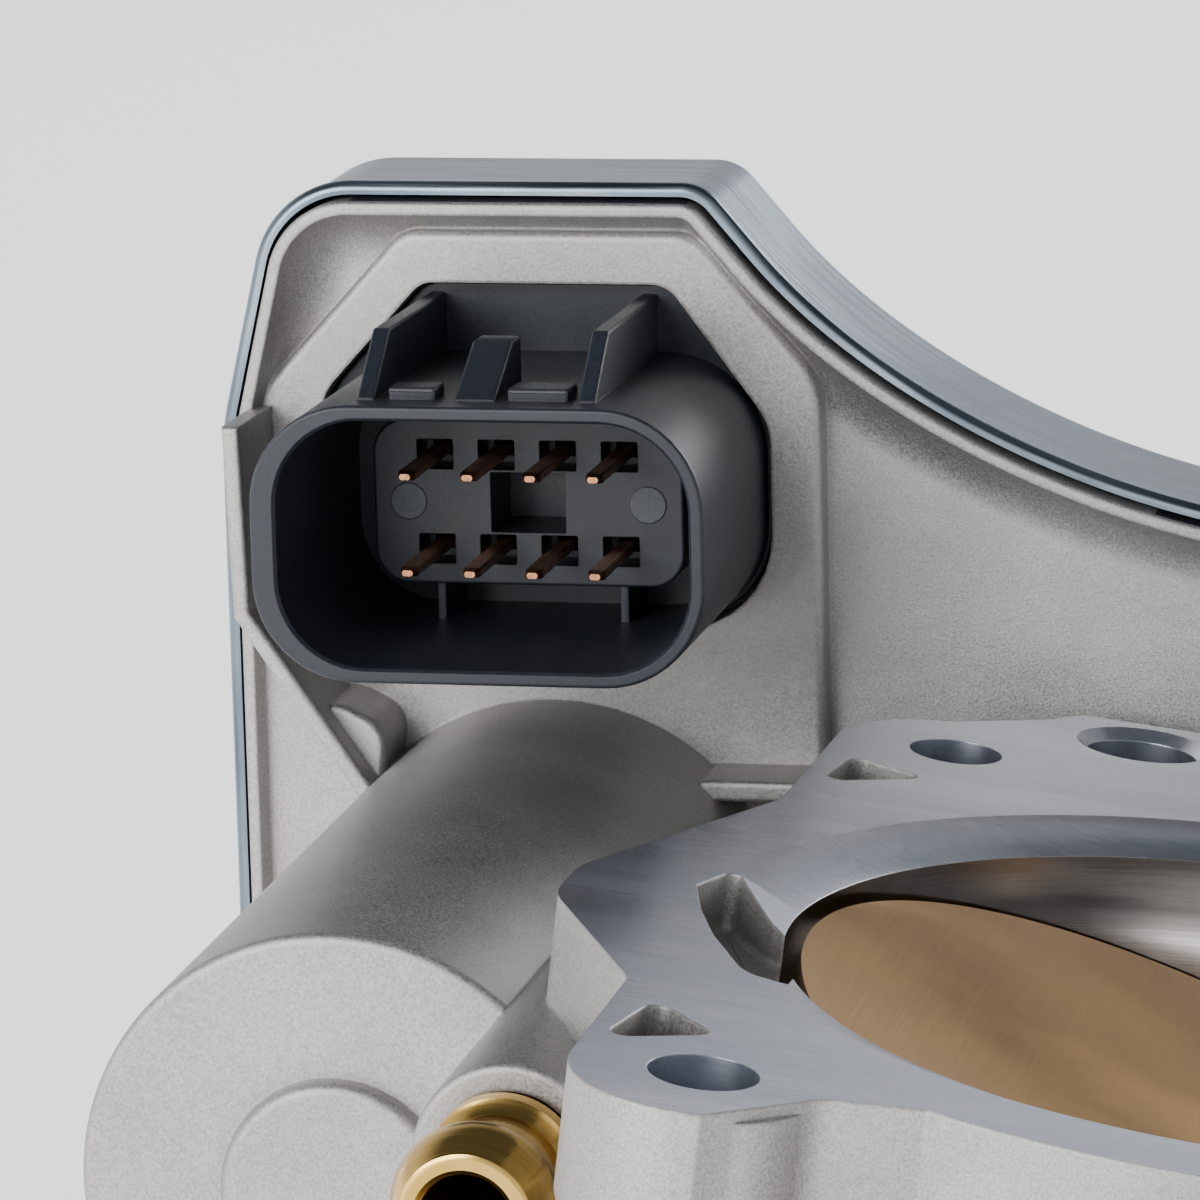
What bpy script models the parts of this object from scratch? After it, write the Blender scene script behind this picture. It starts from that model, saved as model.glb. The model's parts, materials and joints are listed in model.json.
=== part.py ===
"""Electronic throttle body: a cast housing with a bore, a geared motor and a plug-in connector.

The frame is in metres, +Z up. The origin is the bore's centre on the machined flange face.
+Z runs along the bore, out of the flange face, and +Y along the throttle shaft, towards the gears.
The gear case, the motor and the connector are square to each other, and turned together about
the shaft's direction by CASE_TILT. They are children of the empty case_tilt, in its own x and z.
Sizes below are in millimetres, and MM turns them into metres.
"""
import math

import bmesh
import bpy
from mathutils import Matrix, Vector

MM = 0.001

# --- driving sizes, mm and degrees ---
GAP = 0.3                # clearance between neighbours that only touch
CASE_TILT = 7.6          # gear case turned about the shaft's direction
LARGE_ROUND = 40         # sides of the throat and the barrel
BORE_ROUND = 64          # sides of the bore and of the plate in it

# bore, throat and flange
BORE_R = 40.0
LEAD_W = 5.5             # radial width of the lead-in cone at the flange face
LEAD_DEPTH = 2.0
THROAT_WALL = 6.5
FLANGE_T = 11.0
BODY_DEPTH = 62.0        # flange face to inlet end
FLANGE_RING = 12.6       # flange width round the bore
BEAD = 2.2               # hose bead at the inlet end
BEAD_W = 5.0
BOLT_X = BORE_R - 4.5
BOLT_X_FRONT = BORE_R - 2.2
BOLT_Y_CASE = BORE_R + 14.5      # bolt holes on the gear-case side
BOLT_Y_FRONT = BORE_R + 8.0
BOLT_R = 4.1
LUG_R = 10.6
LUG_R_FRONT = 9.8
LUG_FOOT_Z = -24.0       # lower end of the posts round the bolt holes
VENT_X = 15.1 - BOLT_X   # the larger chamfered passage beside a bolt hole
VENT_Y = BOLT_Y_CASE + 12.9
VENT_R = 5.0
VENT_LUG_R = 9.8
VENT_CHAMFER = 1.0
POCKET_DEPTH = 7.0
NOTCH_DEPTH = 5.0

# throttle shaft, its bearings and the plate
SHAFT_Z = -17.0
SHAFT_R = 5.0
SHAFT_FIT = 0.3          # radial running clearance of the shaft in the casting
PLATE_T = 2.0
PLATE_GAP = 0.35         # plate rim to bore
CLOSED_ANGLE = 14.0      # plate against the bore's cross-section when it seals
REST_ANGLE = 19.4        # limp-home opening
BEARING_R = SHAFT_R + 3.0
REAR_BEARING_L = 10.0
FRONT_BEARING_L = 9.0
SEAL_L = 3.0
FRONT_BOSS_R = BEARING_R + 4.0
REAR_BOSS_R = BEARING_R + 4.6
FRONT_BOSS_END = -BORE_R - 22.0
FRONT_SEAT_Y = -BORE_R - 7.0
REAR_SEAT_Y = BORE_R + 20.0
END_PLUG_T = 2.0
SPRING_ROOM = 3.4        # recess round the rear boss, for the return spring
SPRING_WIRE_R = 0.8
SCREW_R = 2.0
SCREW_HEAD_R = 3.6
SCREW_HEAD_T = 1.7
PLATE_SCREW_PITCH = BORE_R - 4.0

# gear case, along y
RIM_Y = BORE_R + 36.0
PLATFORM_Y = RIM_Y + 2.0
PANEL_Y = RIM_Y + 5.0
FLOOR_Y = RIM_Y + 7.5
CASE_BACK_Y = RIM_Y + 19.0
COVER_BACK_Y = RIM_Y + 22.0
COVER_FRONT_Y = RIM_Y + 1.4
COVER_T = 1.2
COVER_GAP = 0.5
COVER_ROUND = 2.8        # round between the cover's skirt and its back
COVER_LIP = 0.7
CASE_WALL = 3.0
RIM_W = 1.8
SLOPE_W = 5.4            # width of the sloping wall inside the rim

# gears: 10 teeth drive 42, and 18 on the same wheel drive the 50-tooth sector
MODULE = 1.25
PINION_TEETH = 10
IDLER_TEETH = 42
SMALL_TEETH = 18
SECTOR_TEETH = 50
ADDENDUM = 0.9           # in modules
DEDENDUM = 1.2
IDLER_AT = 176.46        # direction from the shaft to the idler, from +X towards +Z
MOTOR_AT = 188.62        # direction from the idler to the motor
LOWER_Y = FLOOR_Y + 0.9  # sector and small idler wheel
LOWER_T = 5.0
UPPER_Y = LOWER_Y + LOWER_T + 1.0
UPPER_T = 4.0
IDLER_PIN_R = 3.0
IDLER_BOSS_WALL = 3.5
HUB_R = SHAFT_R + 4.5
HUB_END_Y = UPPER_Y + 2.6
SHAFT_END_Y = HUB_END_Y + 0.4
OPEN_TRAVEL = 70.0
CLOSE_TRAVEL = 5.0
SECTOR_SPARE = 12.0      # teeth beyond the ones in use, in degrees
STOP_TAB_R = 27.0        # reach of the sector's stop tab and of the stop block
STOP_TAB_HALF = 6.0      # half the tab's width, in degrees
STOP_BLOCK_W = 7.0
TIP_CLEAR = 0.425        # sector teeth to the case's wall
END_R = SECTOR_TEETH * MODULE / 2 + ADDENDUM * MODULE + TIP_CLEAR + CASE_WALL

# motor
CAN_R = 17.6
CAN_WALL = 1.3
BARREL_R = CAN_R + 4.6
BARREL_FRONT_R = CAN_R + 3.2
BARREL_FRONT_Y = RIM_Y - 80.5
BARREL_CAP = 3.2
BARREL_DISC_R = 9.5
MOTOR_SHAFT_R = 1.6
ARMATURE_R = CAN_R - 6.4
AIR_GAP = 1.0            # armature to magnets
CORE_FRONT_Y = BARREL_FRONT_Y + 18.5
CORE_BACK_Y = CORE_FRONT_Y + 40.0
COMMUTATOR_R = 4.6
COMMUTATOR_L = 8.0
BRUSH_H = 4.0
BRUSH_REACH = 6.0
MOTOR_SCREW_PITCH = 2 * (CAN_R + 3.4)
EAR_R = 3.8
END_PLATE_T = 1.5

# connector
PLUG_W = 41.0
PLUG_H = 25.0
PLUG_R = 9.2
PLUG_WALL = 1.35
PLUG_FRONT_Y = RIM_Y - 26.5
SOCKET_FLOOR_Y = RIM_Y - 0.5
ISLAND_T = 5.0
ISLAND_FACE_Y = SOCKET_FLOOR_Y - ISLAND_T
ISLAND_W = 29.0
ISLAND_H = 15.4
PIN_TIP_Y = PLUG_FRONT_Y + 9.5
PIN_PITCH_X = 5.75
PIN_PITCH_Z = 8.8
PIN_W = 1.6
PIN_H = 0.9
PIN_ROOM = 0.3
PIN_POCKET = (1.7, 1.4)  # half width and half height of the recess round a terminal
CODE_POCKET = (3.4, 2.6)
GUARD_W = 1.6
GUARD_H = 6.2
BASE_Y = PANEL_Y - 0.8
WINDOW_GAP = 0.7

# hose nipple, its places in the tilted frame
NIPPLE_X = -BORE_R - 17.0
NIPPLE_Z = -9.0
NIPPLE_BOSS_R = 7.8
NIPPLE_R = 5.4
NIPPLE_BORE_R = 3.6
NIPPLE_LIP_R = 6.5
NIPPLE_BOSS_BACK = RIM_Y - 42.0
NIPPLE_BOSS_FRONT = RIM_Y - 97.0
NIPPLE_END = NIPPLE_BOSS_FRONT - 21.0
NIPPLE_SEAT_L = 12.0


# --- places that follow from the sizes, in the tilted frame ---
def from_place(x, z, distance, degrees):
    """The point at a distance and a direction from another."""
    return (x + distance * math.cos(math.radians(degrees)),
            z + distance * math.sin(math.radians(degrees)))


SHAFT_CX = SHAFT_Z * math.sin(math.radians(CASE_TILT))
SHAFT_CZ = SHAFT_Z * math.cos(math.radians(CASE_TILT))
IDLER_X, IDLER_Z = from_place(SHAFT_CX, SHAFT_CZ, (SMALL_TEETH + SECTOR_TEETH) * MODULE / 2, IDLER_AT)
MOTOR_X, MOTOR_Z = from_place(IDLER_X, IDLER_Z, (PINION_TEETH + IDLER_TEETH) * MODULE / 2, MOTOR_AT)
PLUG_X = MOTOR_X - 0.2
PLUG_Z = MOTOR_Z + BARREL_R + 20.1
PLUG_TOP = PLUG_Z + PLUG_H / 2
WINDOW_TOP = PLUG_TOP + 6.6
CASE_LEFT = min(MOTOR_X - BARREL_R - 7.2, PLUG_X - PLUG_W / 2 - 8.6)
CASE_TOP = PLUG_TOP + 14.3
CASE_FOOT = MOTOR_Z - BARREL_R - 3.7
SPRING_CUP_R = REAR_BOSS_R + SPRING_ROOM
SPRING_CUP_Y = RIM_Y - 3.0


# --- scene and helpers ---
for old in list(bpy.data.objects):
    bpy.data.objects.remove(old, do_unlink=True)

parts = bpy.data.collections.new("throttle_body")
cutters = bpy.data.collections.new("cutters")
for group in (parts, cutters):
    bpy.context.scene.collection.children.link(group)

case_tilt = bpy.data.objects.new("case_tilt", None)
case_tilt.rotation_euler = (0, -math.radians(CASE_TILT), 0)
parts.objects.link(case_tilt)


MATERIALS = {
    "cast_aluminium": ((0.56, 0.55, 0.54), 0.55, 0.9),
    "zinc_cover": ((0.30, 0.36, 0.41), 0.35, 0.9),
    "gasket_rubber": ((0.03, 0.03, 0.03), 0.8, 0.0),
    "connector_plastic": ((0.055, 0.065, 0.08), 0.45, 0.0),
    "bronze_terminal": ((0.40, 0.22, 0.12), 0.35, 1.0),
    "steel": ((0.55, 0.55, 0.56), 0.3, 1.0),
    "gold_plate": ((0.53, 0.32, 0.12), 0.3, 1.0),
    "brass": ((0.62, 0.42, 0.12), 0.25, 1.0),
    "gear_plastic": ((0.75, 0.72, 0.62), 0.5, 0.0),
    "spring_steel": ((0.28, 0.28, 0.30), 0.35, 1.0),
    "magnet": ((0.12, 0.12, 0.13), 0.6, 0.3),
    "copper": ((0.70, 0.33, 0.18), 0.35, 1.0),
    "board": ((0.05, 0.22, 0.10), 0.5, 0.0),
}


def material(name):
    """The shared Principled material of one finish."""
    found = bpy.data.materials.get(name)
    if found:
        return found
    colour, roughness, metallic = MATERIALS[name]
    made = bpy.data.materials.new(name)
    made.use_nodes = True
    shader = made.node_tree.nodes["Principled BSDF"]
    shader.inputs["Base Color"].default_value = (*colour, 1)
    shader.inputs["Roughness"].default_value = roughness
    shader.inputs["Metallic"].default_value = metallic
    made.diffuse_color = (*colour, 1)
    return made


def finish_mesh(mesh, name, tilted, role):
    """Links a new object for a mesh, as a cutter or as a part with the finish that role names."""
    mesh.name = name
    obj = bpy.data.objects.new(name, mesh)
    if tilted:
        obj.parent = case_tilt
    if role == "cutter":
        cutters.objects.link(obj)
        obj.hide_render = True
        obj.display_type = "WIRE"
    else:
        parts.objects.link(obj)
        mesh.materials.append(material(role))
        mesh.shade_smooth()
        mesh.set_sharp_from_angle(angle=math.radians(35))
    return obj


def cylinder(name, x, z, y0, y1, r0, r1=None, tilted=True, role="cutter", sides=24):
    """A round along y from y0 to y1, with radius r0 at y0 and r1 at y1."""
    bm = bmesh.new()
    bmesh.ops.create_cone(bm, cap_ends=True, segments=sides, radius1=r0 * MM,
                          radius2=(r0 if r1 is None else r1) * MM, depth=(y1 - y0) * MM)
    bmesh.ops.rotate(bm, verts=bm.verts, matrix=Matrix.Rotation(-math.pi / 2, 3, "X"))
    bmesh.ops.translate(bm, verts=bm.verts, vec=Vector((x, (y0 + y1) / 2, z)) * MM)
    mesh = bpy.data.meshes.new(name)
    bm.to_mesh(mesh)
    bm.free()
    return finish_mesh(mesh, name, tilted, role)


def post(name, x, y, z0, z1, r0, r1=None, tilted=False, role="cutter", sides=24):
    """A round along z from z0 to z1, with radius r0 at z0 and r1 at z1."""
    bm = bmesh.new()
    bmesh.ops.create_cone(bm, cap_ends=True, segments=sides, radius1=r0 * MM,
                          radius2=(r0 if r1 is None else r1) * MM, depth=(z1 - z0) * MM)
    bmesh.ops.rotate(bm, verts=bm.verts, matrix=Matrix.Rotation(math.pi / sides, 3, "Z"))
    bmesh.ops.translate(bm, verts=bm.verts, vec=Vector((x, y, (z0 + z1) / 2)) * MM)
    mesh = bpy.data.meshes.new(name)
    bm.to_mesh(mesh)
    bm.free()
    return finish_mesh(mesh, name, tilted, role)


def box(name, low, high, tilted=True, role="cutter"):
    """A box between two corners."""
    bm = bmesh.new()
    bmesh.ops.create_cube(bm, size=1)
    size = [(b - a) * MM for a, b in zip(low, high)]
    bmesh.ops.scale(bm, verts=bm.verts, vec=size)
    bmesh.ops.translate(bm, verts=bm.verts, vec=[(a + b) / 2 * MM for a, b in zip(low, high)])
    mesh = bpy.data.meshes.new(name)
    bm.to_mesh(mesh)
    bm.free()
    return finish_mesh(mesh, name, tilted, role)


def plate(name, outlines, start, end, tilted=True, role="cutter", along="y"):
    """A flat outline, with any holes in it, made thick from start to end along y or z."""
    curve = bpy.data.curves.new(name, "CURVE")
    curve.dimensions = "2D"
    curve.fill_mode = "BOTH"
    curve.extrude = abs(end - start) / 2 * MM
    for outline in outlines:
        spline = curve.splines.new("POLY")
        spline.points.add(len(outline) - 1)
        spline.use_cyclic_u = True
        for point, (a, b) in zip(spline.points, outline):
            point.co = (a * MM, b * MM, 0, 1)
    holder = bpy.data.objects.new(name + "_curve", curve)
    bpy.context.scene.collection.objects.link(holder)
    bpy.context.view_layer.update()
    evaluated = holder.evaluated_get(bpy.context.evaluated_depsgraph_get())
    mesh = bpy.data.meshes.new_from_object(evaluated)
    bpy.data.objects.remove(holder, do_unlink=True)
    bm = bmesh.new()
    bm.from_mesh(mesh)
    bmesh.ops.remove_doubles(bm, verts=bm.verts, dist=1e-6)
    middle = (start + end) / 2 * MM
    if along == "y":
        bmesh.ops.rotate(bm, verts=bm.verts, matrix=Matrix.Rotation(math.pi / 2, 3, "X"))
        bmesh.ops.translate(bm, verts=bm.verts, vec=(0, middle, 0))
    else:
        bmesh.ops.translate(bm, verts=bm.verts, vec=(0, 0, middle))
    bmesh.ops.recalc_face_normals(bm, faces=bm.faces)
    bm.to_mesh(mesh)
    bm.free()
    return finish_mesh(mesh, name, tilted, role)


def loft(name, sections, tilted=True, role="cutter"):
    """A skin over outlines of equal length, each given as (y, outline), closed at both ends."""
    bm = bmesh.new()
    rings = [[bm.verts.new(Vector((a, y, b)) * MM) for a, b in outline] for y, outline in sections]
    for low, high in zip(rings, rings[1:]):
        for i, vert in enumerate(low):
            j = (i + 1) % len(low)
            bm.faces.new((vert, low[j], high[j], high[i]))
    bm.faces.new(rings[0])
    bm.faces.new(list(reversed(rings[-1])))
    bmesh.ops.recalc_face_normals(bm, faces=bm.faces)
    mesh = bpy.data.meshes.new(name)
    bm.to_mesh(mesh)
    bm.free()
    return finish_mesh(mesh, name, tilted, role)


def turned(name, profile, x, z, tilted=True, role="steel", steps=32):
    """A piece turned about y from (radius, y) points that run down its outer side and back up."""
    mesh = bpy.data.meshes.new(name)
    points = [Vector((r, 0, y)) * MM for r, y in profile]
    closed = all(r > 0 for r, _ in profile)
    edges = [(i, i + 1) for i in range(len(points) - 1)]
    if closed:
        edges.append((len(points) - 1, 0))
    mesh.from_pydata(points, edges, [])
    obj = finish_mesh(mesh, name, tilted, role)
    screw = obj.modifiers.new("turn", "SCREW")
    screw.steps = steps
    screw.render_steps = steps
    screw.use_merge_vertices = True
    screw.merge_threshold = 1e-6
    obj.rotation_euler = (-math.pi / 2, 0, 0)
    obj.location = Vector((x, 0, z)) * MM
    return obj


def boolean(obj, other, operation="DIFFERENCE"):
    """One live Boolean on a part."""
    step = obj.modifiers.new(operation.lower(), "BOOLEAN")
    step.object = other
    step.operation = operation
    step.solver = "EXACT"
    return step


def cut(obj, *others):
    for other in others:
        boolean(obj, other)


def join(obj, *others):
    for other in others:
        boolean(obj, other, "UNION")


# --- outlines ---
def arc(cx, cz, r, start, end, steps):
    """Points of an arc, by degrees."""
    return [(cx + r * math.cos(math.radians(start + (end - start) * i / steps)),
             cz + r * math.sin(math.radians(start + (end - start) * i / steps)))
            for i in range(steps + 1)]


def corner(before, here, after, r, steps):
    """Points of a round that joins two straight edges at a corner."""
    here = Vector(here[:2])
    back = Vector(before[:2]) - here
    on = Vector(after[:2]) - here
    half = back.angle(on) / 2
    reach = min(r / math.tan(half), back.length * 0.49, on.length * 0.49)
    r = reach * math.tan(half)
    centre = here + (back.normalized() + on.normalized()).normalized() * (r / math.sin(half))
    start = here + back.normalized() * reach - centre
    end = here + on.normalized() * reach - centre
    sweep = math.atan2(start.x * end.y - start.y * end.x, start.dot(end))
    first = math.atan2(start.y, start.x)
    return [(centre.x + r * math.cos(first + sweep * k / steps),
             centre.y + r * math.sin(first + sweep * k / steps)) for k in range(steps + 1)]


def rounded(corners, steps=6):
    """A closed outline through corners given as (x, z, radius), each rounded by its radius."""
    outline = []
    for i, here in enumerate(corners):
        after = corners[(i + 1) % len(corners)]
        if here[2] > 0:
            outline += corner(corners[i - 1], here, after, here[2], steps)
        else:
            outline.append(here[:2])
    return outline


def offset(outline, distance):
    """An outline moved outwards by a distance; one that runs anticlockwise grows."""
    moved = []
    count = len(outline)
    for i, (x, z) in enumerate(outline):
        before = Vector(outline[i - 1])
        after = Vector(outline[(i + 1) % count])
        here = Vector((x, z))
        a = (here - before).normalized()
        b = (after - here).normalized()
        normal = Vector((a.y + b.y, -a.x - b.x))
        normal.normalize()
        spread = max(0.5, normal.dot(Vector((a.y, -a.x))))
        moved.append((x + normal.x * distance / spread, z + normal.y * distance / spread))
    return moved


def bezier(p0, h0, h1, p1, steps):
    """Points of one Bezier stretch, without its first point."""
    points = []
    for k in range(1, steps + 1):
        t = k / steps
        w = ((1 - t) ** 3, 3 * t * (1 - t) ** 2, 3 * t * t * (1 - t), t ** 3)
        points.append(tuple(sum(wi * p[n] for wi, p in zip(w, (p0, h0, h1, p1))) for n in (0, 1)))
    return points


def rounded_box(cx, cz, w, h, r, steps=8):
    """An anticlockwise rectangle with round corners."""
    outline = []
    for sx, sz, start in ((1, -1, -90), (1, 1, 0), (-1, 1, 90), (-1, -1, 180)):
        outline += arc(cx + sx * (w / 2 - r), cz + sz * (h / 2 - r), r, start, start + 90, steps)
    return outline


CASE_STRAIGHT = ((PLUG_X + 19.0, CASE_TOP - 5.2, 0), (PLUG_X + 14.6, CASE_TOP, 3),
                 (CASE_LEFT + 5.2, CASE_TOP, 8), (CASE_LEFT, CASE_TOP - 22.0, 20),
                 (CASE_LEFT, CASE_FOOT, 12))


def case_outline(inset):
    """The gear case's rim, anticlockwise, moved inwards by inset."""
    end = END_R - inset
    base = [(SHAFT_CX, SHAFT_CZ - END_R), (SHAFT_CX, SHAFT_CZ + END_R),
            (SHAFT_CX - 21.75, SHAFT_CZ + END_R + 1.05), (PLUG_X + 30.0, CASE_TOP - 18.5)]
    base += [c[:2] for c in CASE_STRAIGHT]
    moved = offset(base, -inset)
    outline = arc(SHAFT_CX, SHAFT_CZ, end, -90, 90, 16)
    outline += bezier(outline[-1], (base[2][0], base[2][1] - inset), moved[3], moved[4], 8)
    line = moved[4:] + [(SHAFT_CX, SHAFT_CZ - end)]
    for i, (_, _, r) in enumerate(CASE_STRAIGHT):
        if i:
            outline += corner(line[i - 1], line[i], line[i + 1], max(r - inset, 0.8), 4)
    return outline


def flange_outline():
    """The machined face, anticlockwise: a ring, four bolt lugs and a lug for the passage."""
    ring = BORE_R + FLANGE_RING
    edge = BOLT_X + LUG_R
    bump = ring + 5.0
    side = arc(0, 0, ring, -90, -66, 6)
    side += corner(side[-1], (BOLT_X_FRONT - 8.5, -BOLT_Y_FRONT - 1.5),
                   (BOLT_X_FRONT - 4.5, -BOLT_Y_FRONT - 9), 3, 3)
    side += arc(BOLT_X_FRONT, -BOLT_Y_FRONT, LUG_R_FRONT, -100, 0, 10)
    side += corner(side[-1], (edge + 1.5, 20 - BOLT_Y_FRONT), (bump, -10), 4, 4)
    side += corner((edge + 1.5, 20 - BOLT_Y_FRONT), (bump, -9), (bump, 2), 4, 4)
    side += corner((bump, -9), (bump, -0.5), (bump - 3.6, 11), 5, 4)
    side += corner((bump - 3.6, 11), (edge + 0.5, BOLT_Y_CASE - 25), (edge, BOLT_Y_CASE - 6.5), 6, 4)
    side += arc(BOLT_X, BOLT_Y_CASE, LUG_R, 0, 78, 8)
    side += arc(-VENT_X, VENT_Y, VENT_LUG_R, 25, 90, 6)
    return side + [(-x, y) for x, y in reversed(side)]


def platform_outline():
    """The raised part of the front panel, round the connector and the motor."""
    left = CASE_LEFT + RIM_W
    right = PLUG_X + 25.9
    foot = CASE_FOOT + RIM_W
    top = CASE_TOP - 2.9
    return rounded([(left, foot, 9), (right, foot, 1), (right, CASE_TOP - 16.5, 8),
                    (PLUG_X + 14.5, top, 5), (PLUG_X - 13.2, top, 4), (left, CASE_TOP - 19.0, 1)])


def window_outline(inset):
    """The opening in the platform round the connector, anticlockwise."""
    left = PLUG_X - PLUG_W / 2 - WINDOW_GAP + inset
    right = PLUG_X + PLUG_W / 2 + WINDOW_GAP - inset
    foot = PLUG_Z - PLUG_H / 2 - WINDOW_GAP + inset
    top = WINDOW_TOP - inset
    return rounded([(left, foot, PLUG_R), (right, foot, PLUG_R), (right, PLUG_Z + 6.3, 6),
                    (PLUG_X + 11.8, top, 3), (PLUG_X - 11.4, top, 2.5), (left, PLUG_Z + 8.4, 5)])


def rib_outline(path, width):
    """A thin wall's outline along a path."""
    left = offset_path(path, width / 2)
    right = offset_path(path, -width / 2)
    return left + list(reversed(right))


def offset_path(path, distance):
    """An open path moved sideways."""
    moved = []
    for i, (x, z) in enumerate(path):
        before, after = Vector(path[max(i - 1, 0)]), Vector(path[min(i + 1, len(path) - 1)])
        along = (after - before).normalized()
        moved.append((x - along.y * distance, z + along.x * distance))
    return moved


def ring_part(inner, outer, start, end, steps):
    """A part of a flat ring round the shaft, between two directions."""
    return (arc(SHAFT_CX, SHAFT_CZ, outer, start, end, steps)
            + arc(SHAFT_CX, SHAFT_CZ, inner, end, start, steps))


def gear_outline(teeth, phase, first=0.0, last=360.0):
    """A spur wheel with one tooth at phase, or the part of it between two directions."""
    pitch_r = teeth * MODULE / 2
    tip, root = pitch_r + ADDENDUM * MODULE, pitch_r - DEDENDUM * MODULE
    flank = ((root, -0.31), (pitch_r, -0.215), (tip, -0.10), (tip, 0.10), (pitch_r, 0.215), (root, 0.31))
    step = 360 / teeth
    outline = []
    for k in range(teeth):
        turn = (phase + k * step - first) % 360
        if last - first < 360 and turn > last - first:
            continue
        outline += [(first + turn + share * step, r) for r, share in flank]
    outline.sort()
    return [(r * math.cos(math.radians(a)), r * math.sin(math.radians(a))) for a, r in outline]


def moved_to(outline, x, z):
    return [(a + x, b + z) for a, b in outline]


# --- housing casting ---
def make_housing():
    """The casting: throat, flange, gear case, motor barrel and bosses in one piece."""
    throat_r = BORE_R + THROAT_WALL
    body = post("throttle_housing", 0, 0, -BODY_DEPTH, -1.0, throat_r, role="cast_aluminium",
                sides=LARGE_ROUND)
    join(body,
         post("bead", 0, 0, -BODY_DEPTH, -BODY_DEPTH + BEAD_W, throat_r + BEAD, sides=LARGE_ROUND),
         plate("flange", [flange_outline()], -FLANGE_T, 0, tilted=False, along="z"),
         plate("case_block", [case_outline(0)], RIM_Y, CASE_BACK_Y))
    cut(body, loft("front_pocket", [
        (RIM_Y - 1, case_outline(RIM_W - SLOPE_W / (PANEL_Y - RIM_Y))),
        (PANEL_Y, case_outline(RIM_W + SLOPE_W))]))
    join(body, plate("platform", [platform_outline()], PLATFORM_Y, PANEL_Y + 1))
    join_bosses(body)
    join_webs(body)
    cut_case(body)
    cut_bores(body)
    cut_flange(body)
    return body


def join_bosses(body):
    """The motor barrel, the bosses round the shaft's ends and the posts round the bolt holes."""
    join(body,
         cylinder("barrel", MOTOR_X, MOTOR_Z, BARREL_FRONT_Y + 1.5, PANEL_Y + 1,
                  BARREL_FRONT_R, BARREL_R, sides=LARGE_ROUND),
         cylinder("barrel_cap", MOTOR_X, MOTOR_Z, BARREL_FRONT_Y, BARREL_FRONT_Y + 2,
                  BARREL_FRONT_R - 1.6, BARREL_FRONT_R, sides=LARGE_ROUND),
         cylinder("barrel_disc", MOTOR_X, MOTOR_Z, BARREL_FRONT_Y - 1.6, BARREL_FRONT_Y + 1,
                  BARREL_DISC_R),
         cylinder("rear_boss", SHAFT_CX, SHAFT_CZ, BORE_R - 2, FLOOR_Y - 0.5, REAR_BOSS_R),
         cylinder("spring_cup", SHAFT_CX, SHAFT_CZ, SPRING_CUP_Y - 3, FLOOR_Y - 0.5,
                  SPRING_CUP_R + 3),
         cylinder("front_boss", SHAFT_CX, SHAFT_CZ, FRONT_BOSS_END, 2 - BORE_R, FRONT_BOSS_R),
         cylinder("nipple_boss", NIPPLE_X, NIPPLE_Z, NIPPLE_BOSS_FRONT, NIPPLE_BOSS_BACK,
                  NIPPLE_BOSS_R),
         cylinder("idler_boss", IDLER_X, IDLER_Z, RIM_Y, PANEL_Y + 1, IDLER_PIN_R + IDLER_BOSS_WALL))
    for sx in (-1, 1):
        join(body,
             post("case_lug", sx * BOLT_X, BOLT_Y_CASE, LUG_FOOT_Z, -1, LUG_R - 1.5),
             post("front_lug", sx * BOLT_X_FRONT, -BOLT_Y_FRONT, LUG_FOOT_Z, -1, LUG_R_FRONT - 1.5))


def join_webs(body):
    """The ribs that tie the gear case to the throat, and the thin walls beside the connector."""
    back = PANEL_Y + 1
    guard = ((CASE_LEFT + 2.3, CASE_TOP - 19.5), (CASE_LEFT + 2.8, CASE_TOP - 37.0),
             (CASE_LEFT + 14.2, CASE_TOP - 53.8))
    tongue = [(CASE_LEFT + 7.4, CASE_TOP - 47.0, 1), (CASE_LEFT + 14.6, CASE_TOP - 56.0, 1),
              (CASE_LEFT + 15.4, CASE_TOP - 48.0, 3), (CASE_LEFT + 10.5, CASE_TOP - 45.6, 3)]
    join(body,
         box("barrel_web", (MOTOR_X + BARREL_R - 5.4, 12, SHAFT_Z - 14), (-BORE_R, RIM_Y - 2, SHAFT_Z - 7),
             tilted=False),
         box("case_web", (-9, BORE_R + 4, SHAFT_Z + 2), (9, back, SHAFT_Z + 11), tilted=False),
         box("left_gusset", (-30, BORE_R, SHAFT_Z - 17), (-23, back, -5), tilted=False),
         box("right_gusset", (23, BORE_R - 10, SHAFT_Z - 17), (29, back, -5), tilted=False),
         plate("edge_rib", [rib_outline(guard, 1.7)], PLATFORM_Y - 11.5, PLATFORM_Y + 1),
         plate("tongue", [rounded(tongue, 4)], PLATFORM_Y - 8.5, PLATFORM_Y + 1),
         box("step_rib", (PLUG_X + 15, RIM_Y - 5, MOTOR_Z + 14.5), (PLUG_X + 26.5, PLATFORM_Y + 1,
                                                                   MOTOR_Z + 16.5)))
    cut(body, plate("case_cavity", [case_outline(CASE_WALL)], FLOOR_Y, CASE_BACK_Y + 1))
    closed_edge = STOP_TAB_HALF + CLOSE_TRAVEL + 4.5
    open_edge = IDLER_AT - CLOSE_TRAVEL - SECTOR_SPARE - OPEN_TRAVEL - STOP_BLOCK_W
    join(body, plate("stop_block", [ring_part(STOP_TAB_R - STOP_BLOCK_W, STOP_TAB_R, closed_edge,
                                              open_edge, 6)], FLOOR_Y - 1, LOWER_Y + LOWER_T))


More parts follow.
